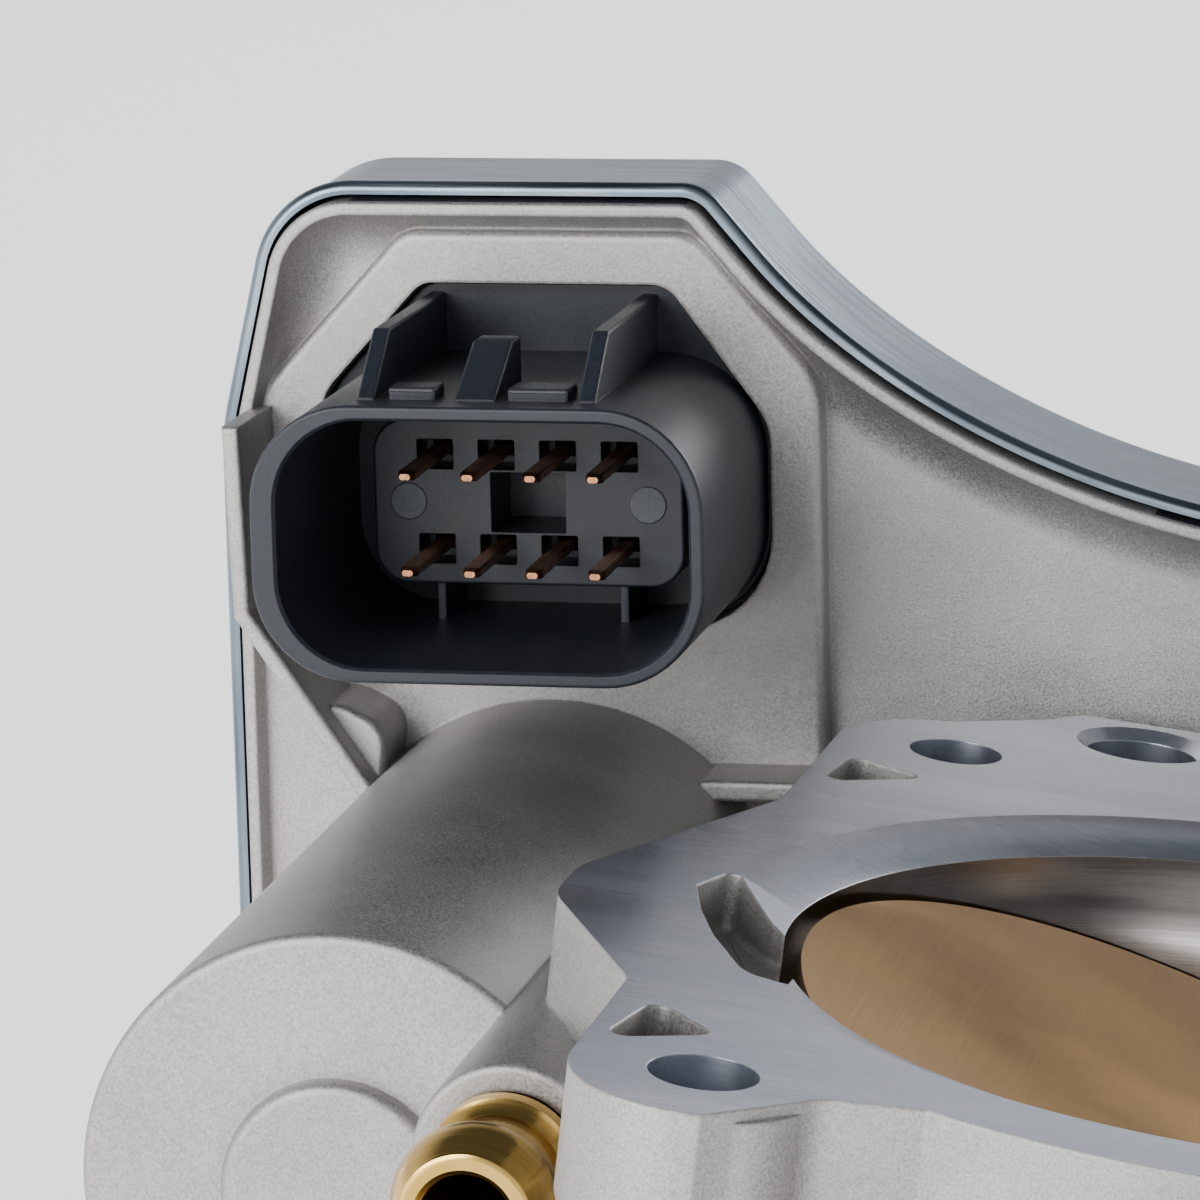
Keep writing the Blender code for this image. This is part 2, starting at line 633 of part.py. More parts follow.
def cut_case(body):
    """The motor's bore, the seats for the idler pin and the spring, and the connector's window."""
    spring_room = [arc(SHAFT_CX, SHAFT_CZ, SPRING_CUP_R, 0, 350, 35),
                   arc(SHAFT_CX, SHAFT_CZ, REAR_BOSS_R - 0.4, 0, 350, 35)]
    cut(body,
        cylinder("motor_bore", MOTOR_X, MOTOR_Z, BARREL_FRONT_Y + BARREL_CAP, FLOOR_Y + 1,
                 CAN_R + GAP, sides=LARGE_ROUND),
        plate("spring_recess", spring_room, SPRING_CUP_Y, FLOOR_Y + 1),
        plate("window", [window_outline(0)], PLATFORM_Y - 1, FLOOR_Y + 1),
        cylinder("idler_pin_hole", IDLER_X, IDLER_Z, RIM_Y + 1.5, FLOOR_Y + 1, IDLER_PIN_R + GAP))
    for sz in (-1, 1):
        cut(body, cylinder("motor_screw_hole", MOTOR_X, MOTOR_Z + sz * MOTOR_SCREW_PITCH / 2,
                           FLOOR_Y - 4, FLOOR_Y + 1, SCREW_R + GAP, sides=16))


def cut_bores(body):
    """The bore with its lead-in, the shaft's bore and bearing seats, and the nipple's passage."""
    flare = LEAD_W * (LEAD_DEPTH + 1) / LEAD_DEPTH
    cut(body,
        cylinder("rear_bearing_bore", SHAFT_CX, SHAFT_CZ, REAR_SEAT_Y, FLOOR_Y + 1, BEARING_R + GAP),
        cylinder("front_bearing_bore", SHAFT_CX, SHAFT_CZ, FRONT_BOSS_END - 1, FRONT_SEAT_Y,
                 BEARING_R + GAP),
        cylinder("shaft_bore", SHAFT_CX, SHAFT_CZ, FRONT_SEAT_Y - 1, REAR_SEAT_Y + 1,
                 SHAFT_R + SHAFT_FIT),
        post("bore", 0, 0, -BODY_DEPTH - 1, 1, BORE_R, sides=BORE_ROUND),
        post("lead_in", 0, 0, -LEAD_DEPTH, 1, BORE_R, BORE_R + flare, sides=BORE_ROUND),
        cylinder("nipple_seat", NIPPLE_X, NIPPLE_Z, NIPPLE_BOSS_FRONT - 1,
                 NIPPLE_BOSS_FRONT + NIPPLE_SEAT_L, NIPPLE_R + GAP),
        cylinder("passage", NIPPLE_X, NIPPLE_Z, NIPPLE_BOSS_FRONT - 1, NIPPLE_BOSS_BACK - 5,
                 NIPPLE_BORE_R))


def cut_flange(body):
    """The bolt holes, the lightening pockets beside them, the chamfered passage and the notch."""
    inner = 2 - BORE_R
    notch = rounded([(-BORE_R - 7.6, -9, 2), (inner, -12, 0), (inner, 6, 0), (-BORE_R - 6.8, 8, 2)])
    near = ((-9.5, 5.4), (-3.1, 9.7), (-9.1, 15.0))      # pocket corners from the bolt hole
    far = ((-8.9, -16.5), (-1.7, -11.1), (-7.9, -7.3))
    cut(body,
        plate("bore_notch", [notch], -NOTCH_DEPTH, 1, tilted=False, along="z"),
        post("vent", VENT_X, VENT_Y, -FLANGE_T - 1, 1, VENT_R, sides=20),
        post("vent_chamfer", VENT_X, VENT_Y, -VENT_CHAMFER, 0.5, VENT_R, VENT_R + VENT_CHAMFER + 0.5,
             sides=20))
    for sx in (-1, 1):
        near_corners = [(sx * (x - BOLT_X_FRONT), y - BOLT_Y_FRONT, 1.2) for x, y in near]
        far_corners = [(sx * (x - BOLT_X), y + BOLT_Y_CASE, 1.2) for x, y in far]
        cut(body,
            post("case_hole", sx * BOLT_X, BOLT_Y_CASE, LUG_FOOT_Z - 1, 1, BOLT_R, sides=20),
            post("front_hole", sx * BOLT_X_FRONT, -BOLT_Y_FRONT, LUG_FOOT_Z - 1, 1, BOLT_R, sides=20),
            plate("near_pocket", [rounded(near_corners, 3)], -POCKET_DEPTH, 1, tilted=False, along="z"),
            plate("far_pocket", [rounded(far_corners, 3)], -POCKET_DEPTH, 1, tilted=False, along="z"))


# --- cover and gasket ---
def make_cover():
    """The stamped zinc-plated cover: its skirt wraps the rim and its closed back rounds over."""
    outer = COVER_GAP + COVER_T
    body = loft("gear_cover", [
        (COVER_FRONT_Y, case_outline(COVER_LIP - outer)),
        (COVER_FRONT_Y + COVER_LIP, case_outline(-outer)),
        (COVER_BACK_Y - COVER_ROUND, case_outline(-outer)),
        (COVER_BACK_Y - COVER_ROUND * 0.4, case_outline(COVER_ROUND * 0.3 - outer)),
        (COVER_BACK_Y, case_outline(COVER_ROUND - outer))], role="zinc_cover")
    cut(body, plate("cover_hollow", [case_outline(-COVER_GAP)], COVER_FRONT_Y - 1,
                    COVER_BACK_Y - COVER_T))
    plate("cover_gasket", [case_outline(0.4), list(reversed(case_outline(CASE_WALL - 0.4)))],
          CASE_BACK_Y + GAP, COVER_BACK_Y - COVER_T - GAP, role="gasket_rubber")


# --- connector ---
def pin_places():
    """The eight terminal centres, two rows of four."""
    return [(PLUG_X + (column - 1.5) * PIN_PITCH_X, PLUG_Z + (0.5 - row) * PIN_PITCH_Z)
            for row in range(2) for column in range(4)]


def sloped_wall(name, x, width, height, flat_from, back):
    """A wall on top of the shroud that starts low at the front and slopes up to its height."""
    low = rounded_box(x, PLUG_TOP - 0.3, width, 1.0, 0.3, 2)
    high = rounded_box(x, PLUG_TOP + height / 2 - 0.8, width, height, 0.3, 2)
    return loft(name, [(PLUG_FRONT_Y + 3, low), (flat_from, high), (back, high)])


def make_connector():
    """The moulded socket, its latch guards and the base behind it, with eight terminals."""
    shroud = rounded_box(PLUG_X, PLUG_Z, PLUG_W, PLUG_H, PLUG_R)
    room = rounded_box(PLUG_X + 0.5, PLUG_Z, PLUG_W - 2 * PLUG_WALL - 1.0, PLUG_H - 2 * PLUG_WALL,
                       PLUG_R - PLUG_WALL)
    island = rounded_box(PLUG_X, PLUG_Z, ISLAND_W, ISLAND_H, 3.2)
    body = plate("connector_housing", [window_outline(GAP)], BASE_Y, FLOOR_Y + 0.9,
                 role="connector_plastic")
    join(body,
         plate("shroud", [shroud], PLUG_FRONT_Y, BASE_Y + 1),
         plate("base_flange", [window_outline(-2.2)], FLOOR_Y + GAP, FLOOR_Y + GAP + 1.6))
    cut(body, plate("socket", [room], PLUG_FRONT_Y - 1, SOCKET_FLOOR_Y))
    join(body,
         plate("island", [island], ISLAND_FACE_Y, SOCKET_FLOOR_Y + 1),
         sloped_wall("left_guard", PLUG_X - 10.3, GUARD_W, GUARD_H, PLUG_FRONT_Y + 9.5, BASE_Y + 1),
         sloped_wall("right_guard", PLUG_X + 9.7, GUARD_W, GUARD_H, PLUG_FRONT_Y + 9.5, BASE_Y + 1),
         sloped_wall("latch_ramp", PLUG_X - 0.4, 3.7, 5.0, PLUG_FRONT_Y + 10.5, PLUG_FRONT_Y + 13.5))
    cut(body, box("code_pocket", (PLUG_X - CODE_POCKET[0], ISLAND_FACE_Y - 1, PLUG_Z - CODE_POCKET[1]),
                  (PLUG_X + CODE_POCKET[0], ISLAND_FACE_Y + 3, PLUG_Z + CODE_POCKET[1])))
    half_w, half_h = PIN_W / 2 + PIN_ROOM, PIN_H / 2 + PIN_ROOM
    for i, (x, z) in enumerate(pin_places()):
        cut(body,
            box(f"pocket_{i}", (x - PIN_POCKET[0], ISLAND_FACE_Y - 1, z - PIN_POCKET[1]),
                (x + PIN_POCKET[0], ISLAND_FACE_Y + 4, z + PIN_POCKET[1])),
            box(f"pin_slot_{i}", (x - half_w, ISLAND_FACE_Y, z - half_h),
                (x + half_w, FLOOR_Y + 3, z + half_h)))
        shank = rounded_box(x, z, PIN_W, PIN_H, 0.15, 1)
        loft(f"terminal_{i + 1}", [
            (PIN_TIP_Y, rounded_box(x, z, PIN_W * 0.6, PIN_H * 0.6, 0.15, 1)),
            (PIN_TIP_Y + 0.9, shank), (FLOOR_Y + 3.6, shank)], role="bronze_terminal")


# --- motor ---
def make_motor():
    """The can in the barrel and what turns in it."""
    front = BARREL_FRONT_Y + BARREL_CAP + GAP
    back = FLOOR_Y - 0.4
    inner = CAN_R - CAN_WALL
    hole = MOTOR_SHAFT_R + GAP
    turned("motor_can", [(CAN_R, back), (CAN_R, front), (hole, front), (hole, front + CAN_WALL),
                         (inner, front + CAN_WALL), (inner, back)], MOTOR_X, MOTOR_Z, steps=40)
    for i, start in enumerate((25, 205)):
        ring = arc(MOTOR_X, MOTOR_Z, inner - GAP, start, start + 130, 12)
        ring += arc(MOTOR_X, MOTOR_Z, ARMATURE_R + AIR_GAP, start + 130, start, 12)
        plate(f"motor_magnet_{i + 1}", [ring], CORE_FRONT_Y - 3, CORE_BACK_Y + 3, role="magnet")
    shaft_back = UPPER_Y + UPPER_T + 0.8
    turned("motor_shaft", [(0, shaft_back), (MOTOR_SHAFT_R, shaft_back),
                           (MOTOR_SHAFT_R, front + 0.1), (0, front + 0.1)], MOTOR_X, MOTOR_Z,
           steps=20)
    poles = []
    for k in range(8):
        poles += arc(0, 0, ARMATURE_R, 45 * k + 4, 45 * k + 41, 5)
        poles += arc(0, 0, ARMATURE_R - 3.6, 45 * k + 43, 45 * k + 47, 1)
    core = plate("armature", [moved_to(poles, MOTOR_X, MOTOR_Z)], CORE_FRONT_Y, CORE_BACK_Y,
                 role="spring_steel")
    cut(core, cylinder("core_hole", MOTOR_X, MOTOR_Z, CORE_FRONT_Y - 1, CORE_BACK_Y + 1, hole, sides=20))
    ring_front = CORE_BACK_Y + 4
    ring_back = ring_front + COMMUTATOR_L
    turned("commutator", [(COMMUTATOR_R, ring_back), (COMMUTATOR_R, ring_front), (hole, ring_front),
                          (hole, ring_back)], MOTOR_X, MOTOR_Z, role="copper", steps=24)
    holder_front = ring_back + 2.6
    inner_r = COMMUTATOR_R + 0.8
    turned("brush_holder", [(inner - GAP, holder_front + 3.4), (inner - GAP, holder_front),
                            (inner_r, holder_front), (inner_r, holder_front + 3.4)],
           MOTOR_X, MOTOR_Z, role="connector_plastic")
    for i, sx in enumerate((-1, 1)):
        near, far = sx * (COMMUTATOR_R + 0.4), sx * (COMMUTATOR_R + 0.4 + BRUSH_REACH)
        box(f"brush_{i + 1}", (MOTOR_X + min(near, far), ring_front + 2, MOTOR_Z - BRUSH_H / 2),
            (MOTOR_X + max(near, far), holder_front - 0.4, MOTOR_Z + BRUSH_H / 2), role="magnet")


def make_end_plate():
    """The plate that closes the motor, with an ear and a screw on each side."""
    ear = MOTOR_SCREW_PITCH / 2
    front = FLOOR_Y + GAP
    ring = CAN_R + 1.6
    around = arc(0, 0, ring, -60, 60, 10) + arc(0, ear, EAR_R, 20, 160, 6)
    around += arc(0, 0, ring, 120, 240, 10) + arc(0, -ear, EAR_R, 200, 340, 6)
    around = moved_to(around, MOTOR_X, MOTOR_Z)
    end_plate = loft("motor_end_plate", [(front, around), (front + END_PLATE_T, around)], role="steel")
    cut(end_plate, cylinder("end_plate_hole", MOTOR_X, MOTOR_Z, FLOOR_Y - 1, FLOOR_Y + 3,
                            MOTOR_SHAFT_R + GAP, sides=24))
    head = front + END_PLATE_T + GAP
    for i, sz in enumerate((1, -1)):
        z = MOTOR_Z + sz * ear
        cut(end_plate, cylinder("ear_hole", MOTOR_X, z, FLOOR_Y - 1, FLOOR_Y + 3, SCREW_R + GAP,
                                sides=16))
        turned(f"motor_screw_{i + 1}", [
            (0, head + 2.0), (SCREW_HEAD_R - 0.4, head + 2.0), (SCREW_HEAD_R - 0.2, head),
            (SCREW_R, head), (SCREW_R, FLOOR_Y - 3.5), (0, FLOOR_Y - 3.5)], MOTOR_X, z, steps=18)


# --- gears ---
def make_gears():
    """The pinion, the compound idler on its pin and the sector on the throttle shaft."""
    upper_back = UPPER_Y + UPPER_T
    to_idler = MOTOR_AT - 180
    pinion = plate("pinion_gear", [moved_to(gear_outline(PINION_TEETH, to_idler + 180 / PINION_TEETH),
                                            MOTOR_X, MOTOR_Z)], UPPER_Y, upper_back, role="steel")
    cut(pinion, cylinder("pinion_hole", MOTOR_X, MOTOR_Z, UPPER_Y - 1, upper_back + 1,
                         MOTOR_SHAFT_R + GAP, sides=20))
    idler = plate("idler_gear", [moved_to(gear_outline(IDLER_TEETH, MOTOR_AT), IDLER_X, IDLER_Z)],
                  UPPER_Y, upper_back, role="gear_plastic")
    join(idler, plate("small_wheel", [moved_to(gear_outline(SMALL_TEETH, IDLER_AT + 180),
                                               IDLER_X, IDLER_Z)], LOWER_Y, UPPER_Y + 1))
    cut(idler, cylinder("idler_hole", IDLER_X, IDLER_Z, LOWER_Y - 1, upper_back + 1,
                        IDLER_PIN_R + GAP, sides=32))
    pin_back = COVER_BACK_Y - COVER_T - GAP
    turned("idler_pin", [(0, pin_back), (IDLER_PIN_R, pin_back), (IDLER_PIN_R, RIM_Y + 1.8),
                         (0, RIM_Y + 1.8)], IDLER_X, IDLER_Z)
    first, last = IDLER_AT - CLOSE_TRAVEL - SECTOR_SPARE, IDLER_AT + OPEN_TRAVEL + SECTOR_SPARE
    outline = gear_outline(SECTOR_TEETH, IDLER_AT + 180 / SECTOR_TEETH, first, last)
    outline += arc(0, 0, HUB_R, last + SECTOR_SPARE, 360 - 3 * STOP_TAB_HALF, 6)
    outline += arc(0, 0, STOP_TAB_R, -STOP_TAB_HALF, STOP_TAB_HALF, 2)
    outline += arc(0, 0, HUB_R, 3 * STOP_TAB_HALF, first - SECTOR_SPARE, 8)
    sector = plate("sector_gear", [moved_to(outline, SHAFT_CX, SHAFT_CZ)], LOWER_Y,
                   LOWER_Y + LOWER_T, role="gear_plastic")
    join(sector, cylinder("hub", SHAFT_CX, SHAFT_CZ, LOWER_Y + 1, HUB_END_Y, HUB_R - 0.8, sides=32))
    cut(sector, cylinder("hub_hole", SHAFT_CX, SHAFT_CZ, LOWER_Y - 1, HUB_END_Y + 1, SHAFT_R + GAP,
                         sides=32))


# --- throttle ---
def on_the_plate(piece):
    """Moves a piece built about the shaft's axis to the shaft, turned with the plate."""
    piece.rotation_euler = (0, math.radians(REST_ANGLE), 0)
    piece.location = (0, 0, SHAFT_Z * MM)
    return piece


def make_throttle():
    """The shaft and the plate that two screws hold in its slot."""
    shaft = cylinder("throttle_shaft", SHAFT_CX, SHAFT_CZ, FRONT_BOSS_END + 4.2, SHAFT_END_Y,
                     SHAFT_R, role="steel", sides=40)
    rim = BORE_R - PLATE_GAP
    far = BORE_R + 20
    slab = bmesh.new()
    bmesh.ops.create_cone(slab, cap_ends=True, segments=BORE_ROUND, radius1=rim * MM,
                          radius2=rim * MM, depth=60 * MM)
    bmesh.ops.rotate(slab, verts=slab.verts,
                     matrix=Matrix.Rotation(math.radians(REST_ANGLE - CLOSED_ANGLE), 3, "Y"))
    bmesh.ops.translate(slab, verts=slab.verts, vec=(0, 0, SHAFT_Z * MM))
    mesh = bpy.data.meshes.new("throttle_plate")
    slab.to_mesh(mesh)
    slab.free()
    disc = finish_mesh(mesh, "throttle_plate", False, "gold_plate")
    blank = box("plate_blank", (-far, -far, -PLATE_T / 2), (far, far, PLATE_T / 2), tilted=False)
    boolean(disc, on_the_plate(blank), "INTERSECT")
    slot = box("plate_slot", (-SHAFT_R - 2, -BORE_R - 0.5, -PLATE_T / 2 - GAP),
               (SHAFT_R + 2, BORE_R + 0.5, PLATE_T / 2 + GAP), tilted=False)
    cut(shaft, on_the_plate(slot))
    seat = SHAFT_R + GAP
    for i, sy in enumerate((-1, 1)):
        y = sy * PLATE_SCREW_PITCH / 2
        screw = post(f"plate_screw_{i + 1}", 0, y, 0.6 - SHAFT_R, seat + SCREW_HEAD_T / 2, SCREW_R,
                     role="steel", sides=20)
        head = post("screw_head", 0, y, seat, seat + SCREW_HEAD_T, SCREW_HEAD_R, SCREW_HEAD_R - 0.7,
                    sides=20)
        hole = post("screw_hole", 0, y, -SHAFT_R - 1, SHAFT_R + 1, SCREW_R + GAP, sides=20)
        join(on_the_plate(screw), on_the_plate(head))
        cut(disc, on_the_plate(hole))
        cut(shaft, hole)


def sleeve(name, start, length, role):
    """A ring between the shaft and its seat in the casting."""
    end = start + length
    inner = SHAFT_R + GAP
    turned(name, [(BEARING_R, end), (BEARING_R, start), (inner, start), (inner, end)],
           SHAFT_CX, SHAFT_CZ, role=role)


def make_bearings():
    """A seal and a needle bearing at each end of the shaft, and the plug over the front one."""
    seal = SEAL_L - GAP
    sleeve("rear_seal", REAR_SEAT_Y + GAP, seal, "gasket_rubber")
    sleeve("rear_bearing", REAR_SEAT_Y + SEAL_L + GAP, REAR_BEARING_L, "steel")
    sleeve("front_seal", FRONT_SEAT_Y - SEAL_L, seal, "gasket_rubber")
    sleeve("front_bearing", FRONT_SEAT_Y - GAP - SEAL_L - FRONT_BEARING_L, FRONT_BEARING_L, "steel")
    front = FRONT_BOSS_END + 0.6
    back = front + END_PLUG_T
    turned("shaft_end_plug", [(0, back), (BEARING_R, back), (BEARING_R, front), (0, front)],
           SHAFT_CX, SHAFT_CZ)


def make_spring():
    """The return spring, wound round the rear boss in its recess."""
    turns, steps = 4.5, 16
    radius = REAR_BOSS_R + SPRING_ROOM / 2 - 0.2
    curve = bpy.data.curves.new("return_spring", "CURVE")
    curve.dimensions = "3D"
    curve.bevel_depth = SPRING_WIRE_R * MM
    curve.bevel_resolution = 2
    curve.use_fill_caps = True
    spline = curve.splines.new("POLY")
    count = int(turns * steps)
    spline.points.add(count)
    low, high = SPRING_CUP_Y + SPRING_WIRE_R + GAP, FLOOR_Y - 0.6
    for i, point in enumerate(spline.points):
        a = 2 * math.pi * i / steps
        point.co = ((SHAFT_CX + radius * math.cos(a)) * MM, (low + (high - low) * i / count) * MM,
                    (SHAFT_CZ + radius * math.sin(a)) * MM, 1)
    spring = bpy.data.objects.new("return_spring", curve)
    spring.parent = case_tilt
    parts.objects.link(spring)
    curve.materials.append(material("spring_steel"))


def make_small_pieces():
    """The brass hose nipple and the position sensor."""
    seat = NIPPLE_BOSS_FRONT
    end = NIPPLE_END
    back = seat + NIPPLE_SEAT_L - 1
    turned("hose_nipple", [
        (NIPPLE_R, back), (NIPPLE_R, seat - 1), (NIPPLE_R + 0.6, seat - 1.2),
        (NIPPLE_R + 0.6, seat - 2.4), (NIPPLE_R - 0.5, seat - 3), (NIPPLE_R - 0.5, end + 6.5),
        (NIPPLE_LIP_R - 0.4, end + 5.6), (NIPPLE_LIP_R, end + 4.4), (NIPPLE_LIP_R, end + 3.2),
        (NIPPLE_LIP_R - 0.9, end + 1.0), (NIPPLE_R - 0.6, end), (NIPPLE_BORE_R + 0.5, end),
        (NIPPLE_BORE_R, end + 0.6), (NIPPLE_BORE_R, back)], NIPPLE_X, NIPPLE_Z, role="brass")
    magnet_front = SHAFT_END_Y + GAP
    magnet_back = magnet_front + 1.2
    turned("sensor_magnet", [(0, magnet_back), (HUB_R - 1.5, magnet_back), (HUB_R - 1.5, magnet_front),
                             (0, magnet_front)], SHAFT_CX, SHAFT_CZ, role="magnet", steps=24)
    board_back = COVER_BACK_Y - COVER_T - GAP
    turned("sensor_board", [(0, board_back), (13.5, board_back), (13.5, board_back - 1.2),
                            (0, board_back - 1.2)], SHAFT_CX, SHAFT_CZ, role="board", steps=28)


make_housing()
make_cover()
make_connector()
make_motor()
make_end_plate()
make_gears()
make_throttle()
make_bearings()
make_spring()
make_small_pieces()
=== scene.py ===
# %% [markdown]
# # A throttle body for an engine, in Blender
# An electronic throttle body sits between the air cleaner and the intake manifold. A cast aluminium
# housing holds a round bore, a yellow metal plate turns in the bore on a steel shaft, and a motor in
# the barrel beside it drives the shaft through gears under a zinc-plated cover. This lesson dresses
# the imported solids: it keeps their places and gives them finer shapes, finishes, light and a camera.

# %% Load the frame
import json
import math

import bmesh
import bpy
from mathutils import Matrix, Vector


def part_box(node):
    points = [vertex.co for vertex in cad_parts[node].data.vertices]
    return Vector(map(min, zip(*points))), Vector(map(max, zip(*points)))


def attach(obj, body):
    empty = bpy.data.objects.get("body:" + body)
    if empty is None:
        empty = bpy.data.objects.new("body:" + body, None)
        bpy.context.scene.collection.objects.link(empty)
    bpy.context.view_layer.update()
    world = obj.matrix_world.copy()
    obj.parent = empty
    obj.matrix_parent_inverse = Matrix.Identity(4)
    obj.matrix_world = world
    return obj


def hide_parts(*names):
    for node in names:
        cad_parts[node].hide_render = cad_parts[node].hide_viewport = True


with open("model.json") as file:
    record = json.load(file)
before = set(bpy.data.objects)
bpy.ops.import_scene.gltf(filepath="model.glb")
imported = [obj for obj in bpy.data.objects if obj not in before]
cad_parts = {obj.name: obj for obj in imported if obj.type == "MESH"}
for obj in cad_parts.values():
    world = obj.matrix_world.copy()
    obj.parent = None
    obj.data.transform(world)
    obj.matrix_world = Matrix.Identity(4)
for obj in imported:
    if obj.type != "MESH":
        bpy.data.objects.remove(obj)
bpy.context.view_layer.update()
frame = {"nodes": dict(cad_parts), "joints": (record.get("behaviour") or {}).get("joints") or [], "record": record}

MM = 0.001
nodes = frame["nodes"]
joints = {joint["name"]: joint for joint in frame["joints"]}

# %% [markdown]
# ## Where things are
# The gear case is turned a few degrees about the shaft's direction. The turn is read from a row of
# terminals, and every centre below comes from a joint or a node's box, so nothing is placed by eye.
# Lengths in this lesson are in millimetres, and MM turns them into metres.

# %% Read the places
def centre(node):
    """The middle of a node's box, in millimetres."""
    low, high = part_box(node)
    return (low + high) / 2 / MM


row = centre("terminal_4") - centre("terminal_1")
TILT = math.atan2(row.z, row.x)


def to_case(x, z):
    """World x and z, in the turned frame of the gear case."""
    return x * math.cos(TILT) + z * math.sin(TILT), z * math.cos(TILT) - x * math.sin(TILT)


def from_case(x, y, z):
    """A point of the turned frame, in the world."""
    return Vector((x * math.cos(TILT) - z * math.sin(TILT), y, x * math.sin(TILT) + z * math.cos(TILT)))


def joint_place(name):
    """A joint's axis, as x and z in the turned frame."""
    x, _, z = joints[name]["pos_m"]
    return to_case(x / MM, z / MM)


SHAFT_X, SHAFT_Z = joint_place("throttle_turn")
IDLER_X, IDLER_Z = joint_place("idler_spin")
MOTOR_X, MOTOR_Z = joint_place("motor_spin")
plug = (centre("terminal_1") + centre("terminal_8")) / 2
PLUG_X, PLUG_Z = to_case(plug.x, plug.z)
nipple = centre("hose_nipple")
NIPPLE_X, NIPPLE_Z = to_case(nipple.x, nipple.z)
AXIS_Z = joints["throttle_turn"]["pos_m"][2] / MM
print("tilt", round(math.degrees(TILT), 2), "motor", round(MOTOR_X, 2), round(MOTOR_Z, 2))

# %% [markdown]
# The driving sizes of the casting. The cover's front edge gives the place of the case along the
# shaft, and the other levels follow from it.

# %% Name the sizes
BORE_R = 40.0
THROAT_R = 46.5
LEAD_R, LEAD_DEPTH = 45.5, 2.0
FLANGE_T = 11.0
BODY_DEPTH = 62.0
RING = 52.6
BOLT_X, BOLT_CASE, BOLT_R, LUG_R = 35.5, 54.5, 4.1, 10.6
BOLT_X_FRONT, BOLT_FRONT, LUG_R_FRONT = 37.8, 48.0, 9.8
VENT_X, VENT_Y, VENT_R, VENT_LUG = -20.4, 67.4, 5.0, 9.8
COVER_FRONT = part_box("gear_cover")[0].y / MM
COVER_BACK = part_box("gear_cover")[1].y / MM
RIM = COVER_FRONT - 1.4
PLATFORM, PANEL, FLOOR, CASE_BACK = RIM + 2.0, RIM + 5.0, RIM + 7.5, RIM + 19.0
CASE_WALL, RIM_W, SLOPE_W = 3.0, 1.2, 5.6
END_R = 35.8
BARREL_R, BARREL_FRONT_R, CAN_R = 22.2, 21.5, 17.6
BARREL_FRONT = RIM - 80.5
NIPPLE_SEAT, NIPPLE_BORE_R = RIM - 103.0, 3.6
DISC_R, BORE_SIDES = 9.5, 256
SCREW_HOLE_R, BEARING_SEAT_R, SHAFT_BORE_R = 2.3, 8.3, 5.3
PLUG_W, PLUG_H, PLUG_R, PLUG_WALL = 41.0, 25.0, 9.2, 1.35
PLUG_FRONT = RIM - 26.5
PLUG_TOP = PLUG_Z + PLUG_H / 2
CASE_LEFT = MOTOR_X - BARREL_R - 7.2
CASE_TOP = PLUG_TOP + 14.3
CASE_FOOT = MOTOR_Z - BARREL_R - 3.7
print("case from", round(CASE_LEFT, 1), "wide, rim at", round(RIM, 1))

# %% [markdown]
# ## The camera
# The object is seen from in front of the flange's left side, a little from above, with a long lens,
# which keeps the bore and the case in their true proportions. The view is turned, tipped and rolled by
# three small angles in the gear case's frame. A sideways shift of an eighth of the frame brings the
# bore to its edge without turning the lens away from the case.

# %% Set the camera
VIEW_TURN, VIEW_DOWN, VIEW_ROLL = math.radians(11.09), math.radians(11.76), math.radians(1.09)
EYE = Vector((28.7, -454.1, 130.8))


def view_axes():
    """The camera's right, down and forward directions in the world."""
    right = Vector((math.cos(VIEW_TURN), math.sin(VIEW_TURN), 0))
    forward = Vector((-math.sin(VIEW_TURN) * math.cos(VIEW_DOWN),
                      math.cos(VIEW_TURN) * math.cos(VIEW_DOWN), -math.sin(VIEW_DOWN)))
    down = forward.cross(right)
    rolled_right = math.cos(VIEW_ROLL) * right + math.sin(VIEW_ROLL) * down
    rolled_down = math.cos(VIEW_ROLL) * down - math.sin(VIEW_ROLL) * right
    return from_case(*rolled_right), from_case(*rolled_down), from_case(*forward)


right, down, forward = view_axes()
lens = bpy.data.cameras.new("camera")
lens.lens = 180
lens.sensor_width = 36
lens.shift_x = -0.12
lens.clip_start = 0.02
camera = bpy.data.objects.new("camera", lens)
camera.matrix_world = Matrix.Translation(EYE * MM) @ Matrix((right, -down, -forward)).transposed().to_4x4()
bpy.context.scene.collection.objects.link(camera)
bpy.context.scene.camera = camera
print("camera looks along", [round(v, 3) for v in forward])

# %% [markdown]
# ## The studio
# Metal needs large, soft white surfaces round it to look like metal, because it shows
# what is round it. White walls give the even ground, one wide panel at the front left gives the shapes
# shading, and a smaller one behind draws the highlights on the plated parts. The ceiling is darker
# than the walls, so that faces that look up stay deeper in tone than the faces towards the lens.

# %% Build the studio
def panel_light(name, place, target, size, power, colour=(1, 1, 1)):
    """A square area light that faces a target."""
    data = bpy.data.lights.new(name, "AREA")
    data.energy = power
    data.size = size
    data.color = colour
    obj = bpy.data.objects.new(name, data)
    obj.location = place
    obj.rotation_euler = (Vector(target) - Vector(place)).to_track_quat("-Z", "Y").to_euler()
    bpy.context.scene.collection.objects.link(obj)
    return obj


MIDDLE = (-0.05, 0.03, 0.0)
panel_light("key_panel", (-0.75, -1.15, 0.42), MIDDLE, 0.8, 17.0)
panel_light("back_panel", (0.6, 1.1, 0.5), MIDDLE, 0.7, 8.0)


